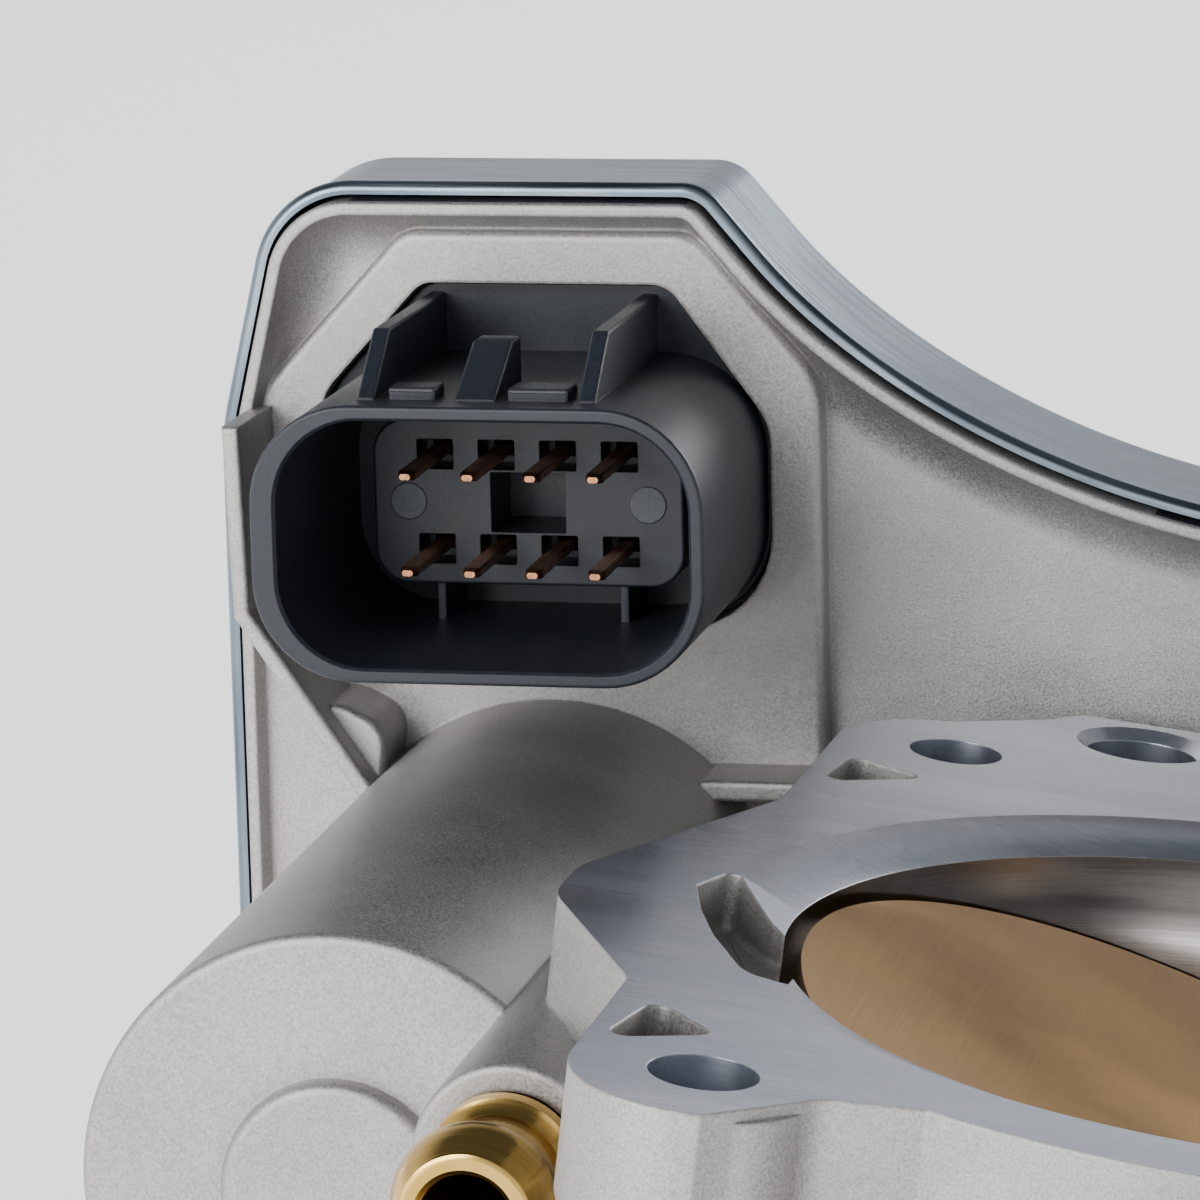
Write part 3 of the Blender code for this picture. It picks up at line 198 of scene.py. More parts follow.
def studio_world():
    """White walls that darken towards the ceiling."""
    made = bpy.data.worlds.new("studio")
    made.use_nodes = True
    tree = made.node_tree
    place = tree.nodes.new("ShaderNodeTexCoord")
    split = tree.nodes.new("ShaderNodeSeparateXYZ")
    ramp = tree.nodes.new("ShaderNodeValToRGB")
    for element, position, value in ((ramp.color_ramp.elements[0], 0.25, (1.0, 1.01, 1.04, 1)),
                                     (ramp.color_ramp.elements[1], 0.62, (0.10, 0.105, 0.12, 1))):
        element.position = position
        element.color = value
    tree.links.new(place.outputs["Generated"], split.inputs["Vector"])
    tree.links.new(split.outputs["Z"], ramp.inputs["Fac"])
    tree.links.new(ramp.outputs["Color"], tree.nodes["Background"].inputs["Color"])
    tree.nodes["Background"].inputs["Strength"].default_value = 1.0
    return made


bpy.context.scene.world = studio_world()

floor_mesh = bpy.data.meshes.new("floor")
bm = bmesh.new()
bmesh.ops.create_grid(bm, x_segments=2, y_segments=2, size=6.0)
bmesh.ops.translate(bm, verts=bm.verts, vec=(0, 0, (-BODY_DEPTH - 0.3) * MM))
bm.to_mesh(floor_mesh)
bm.free()
floor = bpy.data.objects.new("floor", floor_mesh)
bpy.context.scene.collection.objects.link(floor)
print("studio ready")

# %% [markdown]
# ## Finishes
# Every finish is a Principled shader with a little procedural noise, read in each object's own
# coordinates so that it stays on the piece when the piece turns. Small helpers add the noise, turn it
# into two close colours, and turn it into a shallow bump.

# %% Helpers for finishes
def new_finish(name, roughness, metallic):
    """A material with its Principled shader, ready for nodes."""
    made = bpy.data.materials.new(name)
    made.use_nodes = True
    shader = made.node_tree.nodes["Principled BSDF"]
    shader.inputs["Roughness"].default_value = roughness
    shader.inputs["Metallic"].default_value = metallic
    return made, made.node_tree, shader


def noise(tree, grain, stretch=(1, 1, 1), detail=3.0):
    """Noise whose spots are grain millimetres wide, drawn out along an axis by stretch."""
    place = tree.nodes.new("ShaderNodeTexCoord")
    mapping = tree.nodes.new("ShaderNodeMapping")
    mapping.inputs["Scale"].default_value = [1 / (s * grain * MM) for s in stretch]
    texture = tree.nodes.new("ShaderNodeTexNoise")
    texture.inputs["Scale"].default_value = 1.0
    texture.inputs["Detail"].default_value = detail
    tree.links.new(place.outputs["Object"], mapping.inputs["Vector"])
    tree.links.new(mapping.outputs["Vector"], texture.inputs["Vector"])
    return texture.outputs["Fac"]


def between(tree, factor, low, high, start=0.35, end=0.65):
    """Two colours, mixed by a noise between two of its levels."""
    ramp = tree.nodes.new("ShaderNodeValToRGB")
    ramp.color_ramp.elements[0].position = start
    ramp.color_ramp.elements[0].color = (*low, 1)
    ramp.color_ramp.elements[1].position = end
    ramp.color_ramp.elements[1].color = (*high, 1)
    tree.links.new(factor, ramp.inputs["Fac"])
    return ramp.outputs["Color"]


def blended(tree, one, other, share=0.5, mode="MULTIPLY"):
    """Two colours laid over each other."""
    mix = tree.nodes.new("ShaderNodeMix")
    mix.data_type = "RGBA"
    mix.blend_type = mode
    mix.inputs["Factor"].default_value = share
    tree.links.new(one, mix.inputs[6])
    tree.links.new(other, mix.inputs[7])
    return mix.outputs[2]


def bumped(tree, shader, heights, edge=0.0):
    """Stacks shallow bumps, each (noise, depth in mm), on edges that are softened by edge mm."""
    normal = None
    if edge:
        soft = tree.nodes.new("ShaderNodeBevel")
        soft.samples = 4
        soft.inputs["Radius"].default_value = edge * MM
        normal = soft.outputs["Normal"]
    for height, depth in heights:
        bump = tree.nodes.new("ShaderNodeBump")
        bump.inputs["Strength"].default_value = 1.0
        bump.inputs["Distance"].default_value = depth * MM
        tree.links.new(height, bump.inputs["Height"])
        if normal:
            tree.links.new(normal, bump.inputs["Normal"])
        normal = bump.outputs["Normal"]
    tree.links.new(normal, shader.inputs["Normal"])


def rough_between(tree, shader, factor, low, high):
    """Roughness that follows a noise."""
    spread = tree.nodes.new("ShaderNodeMapRange")
    spread.inputs["From Min"].default_value = 0.3
    spread.inputs["From Max"].default_value = 0.7
    spread.inputs["To Min"].default_value = low
    spread.inputs["To Max"].default_value = high
    tree.links.new(factor, spread.inputs["Value"])
    tree.links.new(spread.outputs["Result"], shader.inputs["Roughness"])


print("helpers ready")

# %% [markdown]
# The casting is shot-blasted aluminium: pale grey, with a fine sparkle about a fifth of a millimetre
# across and faint darker clouds where the metal cooled last. The machined faces are smooth and a
# little blue, with cutter marks that run one way. The bore is turned, so its marks run round it.

# %% Aluminium
def cast_aluminium():
    """Shot-blasted casting: a fine sparkle over faint clouds."""
    made, tree, shader = new_finish("cast_aluminium", 0.5, 0.85)
    grain = noise(tree, 0.22, detail=4)
    clouds = noise(tree, 9.0)
    sparkle = between(tree, grain, (0.36, 0.35, 0.34), (0.58, 0.565, 0.55), 0.34, 0.66)
    shade = between(tree, clouds, (0.88, 0.87, 0.88), (1.0, 1.0, 1.0), 0.3, 0.6)
    tree.links.new(blended(tree, sparkle, shade, 0.8), shader.inputs["Base Color"])
    rough_between(tree, shader, grain, 0.42, 0.62)
    bumped(tree, shader, [(grain, 0.022), (noise(tree, 1.6), 0.03)], edge=0.45)
    return made


def machined(name, stretch, colour_low, colour_high, roughness):
    """Bright metal with cutter marks drawn out along an axis."""
    made, tree, shader = new_finish(name, roughness, 1.0)
    marks = noise(tree, 0.12, stretch, detail=2)
    tree.links.new(between(tree, marks, colour_low, colour_high, 0.3, 0.7), shader.inputs["Base Color"])
    rough_between(tree, shader, noise(tree, 2.5, stretch), roughness - 0.05, roughness + 0.06)
    bumped(tree, shader, [(marks, 0.0035)], edge=0.12)
    return made


finishes = {
    "cast_aluminium": cast_aluminium(),
    "machined_face": machined("machined_face", (60, 3, 3), (0.56, 0.60, 0.68), (0.68, 0.71, 0.78), 0.28),
    "turned_bore": machined("turned_bore", (120, 120, 1), (0.50, 0.47, 0.44), (0.62, 0.58, 0.54), 0.15),
}
print("aluminium ready")

# %% [markdown]
# The other finishes. The cover is drawn steel under zinc, so its streaks run round the skirt. The
# plate has a warm yellow metal finish that catches wide, soft highlights. The socket is moulded in
# dark glass-filled nylon, and the terminals are bronze with bright sheared tips.

# %% Plated, moulded and turned finishes
def zinc():
    """Zinc plating on drawn steel, streaked round the skirt."""
    made, tree, shader = new_finish("zinc_cover", 0.3, 1.0)
    streaks = noise(tree, 0.35, (60, 1, 60), detail=3)
    scuffs = noise(tree, 3.0, (4, 1, 4))
    tint = between(tree, streaks, (0.11, 0.15, 0.185), (0.33, 0.39, 0.44), 0.3, 0.72)
    wear = between(tree, scuffs, (0.70, 0.72, 0.75), (1, 1, 1), 0.34, 0.6)
    tree.links.new(blended(tree, tint, wear, 0.7), shader.inputs["Base Color"])
    rough_between(tree, shader, streaks, 0.2, 0.42)
    bumped(tree, shader, [(streaks, 0.012), (noise(tree, 0.5), 0.006)])
    return made


def gold():
    """The plate's warm finish, with fine lines and a soft haze."""
    made, tree, shader = new_finish("gold_plate", 0.2, 1.0)
    lines = noise(tree, 0.2, (1, 90, 1), detail=2)
    haze = noise(tree, 14.0)
    tint = between(tree, lines, (0.40, 0.215, 0.045), (0.46, 0.255, 0.065), 0.3, 0.7)
    cloud = between(tree, haze, (0.86, 0.84, 0.82), (1, 1, 1))
    tree.links.new(blended(tree, tint, cloud, 0.6), shader.inputs["Base Color"])
    rough_between(tree, shader, haze, 0.17, 0.25)
    bumped(tree, shader, [(lines, 0.002)])
    return made


def moulded(name, low, high, roughness, grain=0.3, depth=0.01):
    """A moulded or pressed skin with a fine grain."""
    made, tree, shader = new_finish(name, roughness, 0.0)
    skin = noise(tree, grain, detail=4)
    flow = noise(tree, 5.0, (1, 4, 1))
    tint = between(tree, skin, low, high, 0.3, 0.7)
    cloud = between(tree, flow, (0.84, 0.84, 0.86), (1, 1, 1))
    tree.links.new(blended(tree, tint, cloud, 0.8), shader.inputs["Base Color"])
    rough_between(tree, shader, skin, roughness - 0.07, roughness + 0.08)
    bumped(tree, shader, [(skin, depth)], edge=0.15)
    return made


def metal(name, low, high, roughness, stretch=(1, 1, 1), grain=0.3, depth=0.004):
    """Turned, drawn or sheared metal, with marks between two tones."""
    made, tree, shader = new_finish(name, roughness, 1.0)
    marks = noise(tree, grain, stretch, detail=3)
    tree.links.new(between(tree, marks, low, high, 0.3, 0.7), shader.inputs["Base Color"])
    rough_between(tree, shader, noise(tree, 4 * grain, stretch), roughness - 0.06, roughness + 0.08)
    bumped(tree, shader, [(marks, depth)])
    return made


ROUND_Y = (40, 1, 40)    # marks that run round a piece turned along the shaft's direction
finishes.update({
    "zinc_cover": zinc(),
    "gold_plate": gold(),
    "connector_plastic": moulded("connector_plastic", (0.013, 0.017, 0.024), (0.023, 0.029, 0.040), 0.42),
    "worn_plastic": moulded("worn_plastic", (0.05, 0.06, 0.068), (0.10, 0.115, 0.125), 0.5, 0.4, 0.02),
    "gasket_rubber": moulded("gasket_rubber", (0.012, 0.012, 0.012), (0.03, 0.03, 0.03), 0.75),
    "gear_plastic": moulded("gear_plastic", (0.66, 0.62, 0.50), (0.76, 0.72, 0.61), 0.45),
    "board": moulded("board", (0.02, 0.13, 0.05), (0.035, 0.18, 0.08), 0.45, 0.8),
    "magnet": moulded("magnet", (0.03, 0.03, 0.032), (0.06, 0.06, 0.063), 0.6, 0.2, 0.02),
    "bronze_terminal": metal("bronze_terminal", (0.34, 0.15, 0.07), (0.62, 0.30, 0.16), 0.32, (1, 30, 1)),
    "steel": metal("steel", (0.46, 0.46, 0.47), (0.60, 0.60, 0.61), 0.28, ROUND_Y),
    "brass": metal("brass", (0.58, 0.36, 0.08), (0.72, 0.48, 0.15), 0.2, ROUND_Y, 0.15, 0.004),
    "spring_steel": metal("spring_steel", (0.10, 0.10, 0.11), (0.22, 0.22, 0.24), 0.38),
    "copper": metal("copper", (0.60, 0.26, 0.13), (0.76, 0.38, 0.22), 0.3, (1, 60, 1)),
})
floor_finish, _, floor_shader = new_finish("pale_floor", 0.55, 0.0)
floor_shader.inputs["Base Color"].default_value = (0.95, 0.95, 0.95, 1)
floor_shader.inputs["Emission Color"].default_value = (1, 1, 1, 1)
floor_shader.inputs["Emission Strength"].default_value = 1.2
floor_mesh.materials.append(floor_finish)
print(len(finishes), "finishes")

# %% [markdown]
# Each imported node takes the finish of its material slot. The ones that show get a finer shape below.

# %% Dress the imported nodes
slots = {entry["node"]: entry["material_slot"] for entry in frame["record"]["subparts"]}
for name, obj in nodes.items():
    obj.data.materials.clear()
    obj.data.materials.append(finishes[slots[name]])
    obj.data.shade_smooth()
    obj.data.set_sharp_from_angle(angle=math.radians(32))
print("dressed", len(nodes))

# %% [markdown]
# ## Outlines
# Cast and moulded pieces start as flat outlines: straight runs joined by arcs. A few functions make
# the arcs, round the corners, move an outline inwards and run a smooth curve between two points.

# %% Outline helpers
def arc(cx, cz, r, start, end, steps):
    """Points of an arc, by degrees."""
    return [(cx + r * math.cos(math.radians(start + (end - start) * i / steps)),
             cz + r * math.sin(math.radians(start + (end - start) * i / steps)))
            for i in range(steps + 1)]


def corner(before, here, after, r, steps):
    """Points of a round that joins two straight edges at a corner."""
    here = Vector(here[:2])
    back = Vector(before[:2]) - here
    on = Vector(after[:2]) - here
    half = back.angle(on) / 2
    reach = min(r / math.tan(half), back.length * 0.49, on.length * 0.49)
    r = reach * math.tan(half)
    middle = here + (back.normalized() + on.normalized()).normalized() * (r / math.sin(half))
    start = here + back.normalized() * reach - middle
    end = here + on.normalized() * reach - middle
    sweep = math.atan2(start.x * end.y - start.y * end.x, start.dot(end))
    first = math.atan2(start.y, start.x)
    return [(middle.x + r * math.cos(first + sweep * k / steps),
             middle.y + r * math.sin(first + sweep * k / steps)) for k in range(steps + 1)]


def rounded(corners, steps=8):
    """A closed outline through (x, z, radius) corners."""
    outline = []
    for i, here in enumerate(corners):
        after = corners[(i + 1) % len(corners)]
        outline += corner(corners[i - 1], here, after, here[2], steps) if here[2] else [here[:2]]
    return outline


def moved_in(outline, distance):
    """An anticlockwise outline, moved inwards by a distance."""
    moved = []
    for i, (x, z) in enumerate(outline):
        here = Vector((x, z))
        a = (here - Vector(outline[i - 1])).normalized()
        b = (Vector(outline[(i + 1) % len(outline)]) - here).normalized()
        normal = Vector((a.y + b.y, -a.x - b.x)).normalized()
        spread = max(0.5, normal.dot(Vector((a.y, -a.x))))
        moved.append((x - normal.x * distance / spread, z - normal.y * distance / spread))
    return moved


def bezier(p0, h0, h1, p1, steps):
    """Points of one smooth stretch, without its first point."""
    points = []
    for k in range(1, steps + 1):
        t = k / steps
        w = ((1 - t) ** 3, 3 * t * (1 - t) ** 2, 3 * t * t * (1 - t), t ** 3)
        points.append(tuple(sum(wi * p[n] for wi, p in zip(w, (p0, h0, h1, p1))) for n in (0, 1)))
    return points


def rounded_box(cx, cz, w, h, r, steps=12):
    """An anticlockwise rectangle with round corners."""
    outline = []
    for sx, sz, start in ((1, -1, -90), (1, 1, 0), (-1, 1, 90), (-1, -1, 180)):
        outline += arc(cx + sx * (w / 2 - r), cz + sz * (h / 2 - r), r, start, start + 90, steps)
    return outline


print("a rounded box has", len(rounded_box(0, 0, 4, 2, 0.5)), "points")

# %% [markdown]
# ## Solids
# A solid is a stack of outlines. Giving the first and last of them a small inset, along a quarter
# circle, rounds its rims the way a casting's or a moulding's edges are, without a modifier that could
# fail where two rounds meet. Rounds along the shaft, or along the bore, are stacks of circles.

# %% Solid helpers
def keep_mesh(name, bm, finish):
    """A new object from a closed mesh, linked and finished."""
    bmesh.ops.recalc_face_normals(bm, faces=bm.faces)
    mesh = bpy.data.meshes.new(name)
    bm.to_mesh(mesh)
    bm.free()
    mesh.materials.append(finish)
    obj = bpy.data.objects.new(name, mesh)
    bpy.context.scene.collection.objects.link(obj)
    return obj


def stack(name, rings, finish):
    """A closed skin over rings of equally many world points, in millimetres."""
    bm = bmesh.new()
    made = [[bm.verts.new(Vector(point) * MM) for point in ring] for ring in rings]
    for low, high in zip(made, made[1:]):
        for i, vert in enumerate(low):
            j = (i + 1) % len(low)
            bm.faces.new((vert, low[j], high[j], high[i]))
    bm.faces.new(made[0])
    bm.faces.new(list(reversed(made[-1])))
    return keep_mesh(name, bm, finish)


def rims(start, end, round_start=0.0, round_end=0.0, steps=4):
    """(level, inset) pairs from start to end, with a quarter round at each rim."""
    way = 1 if end > start else -1
    levels = []
    for k in range(steps + 1 if round_start else 1):
        a = math.pi / 2 * k / steps
        levels.append((start + way * round_start * (1 - math.cos(a)), round_start * (1 - math.sin(a))))
    for k in range(steps + 1 if round_end else 1):
        a = math.pi / 2 * k / steps
        levels.append((end - way * round_end * (1 - math.sin(a)), round_end * (1 - math.cos(a))))
    return levels


def slab(name, outline, levels, along="case", finish=None):
    """An outline made thick: along the shaft in the case's frame, or along the bore's axis."""
    rings = []
    for level, inset in levels:
        flat = moved_in(outline, inset) if inset else outline
        rings.append([from_case(a, level, b) if along == "case" else (a, b, level) for a, b in flat])
    return stack(name, rings, finish or finishes["cast_aluminium"])


def round_bar(name, x, z, profile, along="case", sides=96, finish=None):
    """A round piece from (place along its axis, radius) pairs."""
    rings = []
    for level, r in profile:
        circle = arc(x, z, r, 180 / sides, 360 - 180 / sides, sides - 1)
        rings.append([from_case(a, level, b) if along == "case" else (a, b, level) for a, b in circle])
    return stack(name, rings, finish or finishes["cast_aluminium"])


def apply_all(obj):
    """Turns an object's modifiers into its mesh."""
    bpy.context.view_layer.update()
    evaluated = obj.evaluated_get(bpy.context.evaluated_depsgraph_get())
    mesh = bpy.data.meshes.new_from_object(evaluated)
    obj.modifiers.clear()
    old = obj.data
    obj.data = mesh
    mesh.name = obj.name
    bpy.data.meshes.remove(old)


def combine(obj, others, operation):
    """Joins or cuts an object with closed helpers, and removes the helpers."""
    for other in others:
        step = obj.modifiers.new(operation, "BOOLEAN")
        step.operation = operation
        step.solver = "MANIFOLD"
        step.object = other
    apply_all(obj)
    for other in others:
        bpy.data.objects.remove(other, do_unlink=True)
    print(obj.name, operation.lower(), len(obj.data.polygons), "faces")


def shade(obj, angle=30):
    """Smooth shading with sharp edges, and normals that keep flat faces flat."""
    obj.data.shade_smooth()
    obj.data.set_sharp_from_angle(angle=math.radians(angle))
    step = obj.modifiers.new("flat_faces", "WEIGHTED_NORMAL")
    step.keep_sharp = True
    step.weight = 80


print("rims of a 10 mm slab:", rims(0, 10, 1, 0, 2))

# %% [markdown]
# ## The casting
# The housing is one aluminium casting: a throat with a hose bead, a flange with bolt lugs, a gear
# case, a barrel for the motor and a boss for the hose nipple. It is joined from rounded solids, as a
# pattern maker builds a pattern, and then bored and milled. Milled edges stay sharp, cast ones don't.

# %% Outlines of the casting
def case_outline(inset):
    """The gear case's rim, moved inwards."""
    straight = ((PLUG_X + 19.0, CASE_TOP - 5.2, 0), (PLUG_X + 14.6, CASE_TOP, 3),
                (CASE_LEFT + 5.2, CASE_TOP, 8), (CASE_LEFT, CASE_TOP - 22.0, 20),
                (CASE_LEFT, CASE_FOOT, 12))
    end = END_R - inset
    base = [(SHAFT_X, SHAFT_Z - END_R), (SHAFT_X, SHAFT_Z + END_R),
            (SHAFT_X - 21.75, SHAFT_Z + END_R + 1.05), (PLUG_X + 30.0, CASE_TOP - 18.5)]
    base += [c[:2] for c in straight]
    moved = moved_in(base, inset)
    outline = arc(SHAFT_X, SHAFT_Z, end, -90, 90, 60)
    outline += bezier(outline[-1], (base[2][0], base[2][1] - inset), moved[3], moved[4], 40)
    line = moved[4:] + [(SHAFT_X, SHAFT_Z - end)]
    for i, (_, _, r) in enumerate(straight):
        if i:
            outline += corner(line[i - 1], line[i], line[i + 1], max(r - inset, 0.8), 14)
    return outline


def flange_outline():
    """The machined face: a ring, four bolt lugs and a lug for the passage."""
    edge, bump = BOLT_X + LUG_R, RING + 5.0
    side = arc(0, 0, RING, -90, -66, 12)
    side += corner(side[-1], (BOLT_X_FRONT - 8.5, -BOLT_FRONT - 1.5),
                   (BOLT_X_FRONT - 4.5, -BOLT_FRONT - 9), 3, 6)
    side += arc(BOLT_X_FRONT, -BOLT_FRONT, LUG_R_FRONT, -100, 0, 22)
    side += corner(side[-1], (edge + 1.5, 20 - BOLT_FRONT), (bump, -10), 4, 8)
    side += corner((edge + 1.5, 20 - BOLT_FRONT), (bump, -9), (bump, 2), 9, 12)
    side += corner((bump, -5), (bump, -0.5), (bump - 3.6, 11), 12, 12)
    side += corner((bump - 3.6, 11), (edge + 0.5, BOLT_CASE - 25), (edge, BOLT_CASE - 6.5), 6, 8)
    side += arc(BOLT_X, BOLT_CASE, LUG_R, 0, 78, 18)
    side += arc(-VENT_X, VENT_Y, VENT_LUG, 25, 90, 14)
    return side + [(-x, y) for x, y in reversed(side)]


def platform_outline():
    """The raised part of the front panel, round the socket and the barrel."""
    left, right_edge, foot, top = CASE_LEFT + RIM_W, PLUG_X + 25.9, CASE_FOOT + RIM_W, CASE_TOP - 2.9
    return rounded([(left, foot, 9), (right_edge, foot, 1), (right_edge, CASE_TOP - 16.5, 8),
                    (PLUG_X + 14.5, top, 5), (PLUG_X - 13.2, top, 4), (left, CASE_TOP - 19.0, 1)])


def window_outline(inset):
    """The opening in the platform round the socket."""
    left, right_edge = PLUG_X - PLUG_W / 2 - 0.7 + inset, PLUG_X + PLUG_W / 2 + 0.7 - inset
    foot, top = PLUG_Z - PLUG_H / 2 - 0.7 + inset, PLUG_TOP + 6.6 - inset
    return rounded([(left, foot, PLUG_R), (right_edge, foot, PLUG_R), (right_edge, PLUG_Z + 6.3, 6),
                    (PLUG_X + 11.8, top, 3), (PLUG_X - 11.4, top, 2.5), (left, PLUG_Z + 8.4, 5)])


def wall_outline(path, width):
    """A thin wall's outline along a path, with square ends."""
    sides = []
    for sign in (1, -1):
        side = []
        for i, (x, z) in enumerate(path):
            along = Vector(path[min(i + 1, len(path) - 1)]) - Vector(path[max(i - 1, 0)])
            along.normalize()
            side.append((x - along.y * sign * width / 2, z + along.x * sign * width / 2))
        sides.append(side)
    return sides[1] + list(reversed(sides[0]))


print("case outline", len(case_outline(0)), "flange outline", len(flange_outline()))

# %% [markdown]
# The throat, the flange and the gear case are joined first, because the concave wall inside the case's
# rim is then cut out of all three at once. A stack of ever smaller outlines makes that cutter.

# %% Join the throat, the flange and the case
CAST = finishes["cast_aluminium"]
throat = [(-BODY_DEPTH, 47.3), (-61.4, 48.3), (-60.5, 48.7), (-58.0, 48.7), (-57.2, 48.4),
          (-56.4, 47.3), (-55.4, THROAT_R), (-1.0, THROAT_R)]
housing = round_bar("housing", 0, 0, throat, "bore", 160)
solids = [slab("flange", flange_outline(), rims(-FLANGE_T, 0, 1.4, 0), "bore"),
          slab("case_block", case_outline(0), rims(RIM, CASE_BACK, 0.5, 0, 3))]
combine(housing, solids, "UNION")
cove = [(RIM - 1, case_outline(RIM_W - 0.4))]
for k in range(8):
    a = math.pi / 2 * k / 7
    cove.append((RIM + 5.0 * math.sin(a), case_outline(RIM_W + SLOPE_W * (1 - math.cos(a)))))
cove_rings = [[from_case(x, y, z) for x, z in outline] for y, outline in cove]
combine(housing, [stack("cove", cove_rings, CAST)], "DIFFERENCE")


# %% [markdown]
# The barrel, the bosses, the webs and the bolt lugs are added next. Round ones are bars with a rounded
# end, and webs are straight blocks with rounded edges, as they are in the mould.

# %% Helpers for bosses and webs
def end_round(front, back, r_front, r_back, radius):
    """A round bar's profile whose front end is rounded."""
    return [(level, r_front - inset) for level, inset in rims(front, front + radius + 1, radius, 0, 6)] + [
        (back, r_back)]


def rib(name, x0, x1, z0, z1, y0, y1, radius=0.8):
    """A straight cast web, in the world's directions, with rounded long edges."""
    outline = rounded([(x0, z0, radius), (x1, z0, radius), (x1, z1, radius), (x0, z1, radius)], 4)
    rings = [[(a, level, b) for a, b in outline] for level in (y0, y1)]
    return stack(name, rings, CAST)


# %% Add the barrel, the bosses, the webs and the lugs
guard = ((CASE_LEFT + 2.3, CASE_TOP - 19.5), (CASE_LEFT + 2.8, CASE_TOP - 37.0),
         (CASE_LEFT + 14.2, CASE_TOP - 53.8))
tongue = [(CASE_LEFT + 7.4, CASE_TOP - 47.0, 1), (CASE_LEFT + 14.6, CASE_TOP - 56.0, 1),
          (CASE_LEFT + 15.4, CASE_TOP - 48.0, 3), (CASE_LEFT + 10.5, CASE_TOP - 45.6, 3)]
step = [(PLUG_X + 15, MOTOR_Z + 14.5, 0.8), (PLUG_X + 26.5, MOTOR_Z + 14.5, 0.8),
        (PLUG_X + 26.5, MOTOR_Z + 16.5, 0.8), (PLUG_X + 15, MOTOR_Z + 16.5, 0.8)]
back = PANEL + 1
solids = [
    slab("platform", platform_outline(), rims(PLATFORM, back, 0.9, 0)),
    round_bar("barrel", MOTOR_X, MOTOR_Z, end_round(BARREL_FRONT, back, BARREL_FRONT_R, BARREL_R, 0.8),
              sides=128),
    round_bar("barrel_disc", MOTOR_X, MOTOR_Z,
              end_round(BARREL_FRONT - 1.6, BARREL_FRONT + 2, DISC_R, DISC_R, 0.9)),
    round_bar("rear_boss", SHAFT_X, SHAFT_Z, [(BORE_R - 2, 12.6), (FLOOR - 0.5, 12.6)]),
    round_bar("spring_cup", SHAFT_X, SHAFT_Z, end_round(RIM - 6, FLOOR - 0.5, 19.0, 19.0, 1.5)),
    round_bar("front_boss", SHAFT_X, SHAFT_Z, end_round(-BORE_R - 22, 2 - BORE_R, 12.0, 12.0, 1.2)),
    round_bar("nipple_boss", NIPPLE_X, NIPPLE_Z, end_round(NIPPLE_SEAT, RIM - 42, 7.8, 7.8, 0.6)),
    round_bar("idler_boss", IDLER_X, IDLER_Z, end_round(RIM, back, 6.5, 6.5, 0.8)),
    rib("barrel_web", MOTOR_X + BARREL_R - 5.4, -BORE_R, AXIS_Z - 14, AXIS_Z - 7, 12, RIM - 2),
    rib("case_web", -9, 9, AXIS_Z + 2, AXIS_Z + 11, BORE_R + 4, back),
    rib("left_gusset", -30, -23, AXIS_Z - 17, -5, BORE_R, back),
    rib("right_gusset", 23, 29, AXIS_Z - 17, -5, BORE_R - 10, back),
    slab("guard_wall", wall_outline(guard, 1.7), rims(PLATFORM - 11.5, PLATFORM + 1, 0.5, 0, 3)),
    slab("tongue", rounded(tongue, 6), rims(PLATFORM - 8.5, PLATFORM + 1, 0.8, 0, 3)),
    slab("step", rounded(step, 4), rims(RIM - 5, PLATFORM + 1, 0.5, 0, 3))]
for sx in (-1, 1):
    for x, y, r in ((BOLT_X, BOLT_CASE, LUG_R), (BOLT_X_FRONT, -BOLT_FRONT, LUG_R_FRONT)):
        foot = [(level, r - 1.5 - inset) for level, inset in rims(-24.0, -1.0, 1.6, 0)]
        solids.append(round_bar("lug", sx * x, y, foot, "bore", 64))
combine(housing, solids, "UNION")

# %% [markdown]
# Boring and milling. The cuts are sharp: the bore with its lead-in, the bolt holes, the chamfered
# passage, and inside, the gear cavity, the motor's bore and the seats of the bearings.

# %% Bore and mill the casting
FIT = 0.3
flare = (LEAD_R - BORE_R) * (LEAD_DEPTH + 1) / LEAD_DEPTH
notch = rounded([(-47.9, -0.4, 0.8), (-46.2, -7.0, 1.5), (-43.9, -13.5, 1.5), (-39.8, -22.0, 1.0),
                 (-37.0, -18.0, 0.4), (-37.5, -6.0, 0.4), (-41.1, -2.5, 0.4), (-45.9, 5.7, 0.8)], 5)
cavity = [slab("cavity", case_outline(CASE_WALL), [(FLOOR, 0), (CASE_BACK + 1, 0)])]
combine(housing, cavity, "DIFFERENCE")
stop = arc(SHAFT_X, SHAFT_Z, 27.0, 23.5, 74.5, 12) + arc(SHAFT_X, SHAFT_Z, 20.0, 74.5, 23.5, 12)
combine(housing, [slab("stop_block", stop, rims(FLOOR - 1, FLOOR + 5.9, 0, 0.4))], "UNION")
seat = round_bar("spring_seat", SHAFT_X, SHAFT_Z, [(RIM - 3, 16.0), (FLOOR + 1, 16.0)])
core = round_bar("boss_core", SHAFT_X, SHAFT_Z, [(RIM - 4, 12.2), (FLOOR + 2, 12.2)])
combine(seat, [core], "DIFFERENCE")
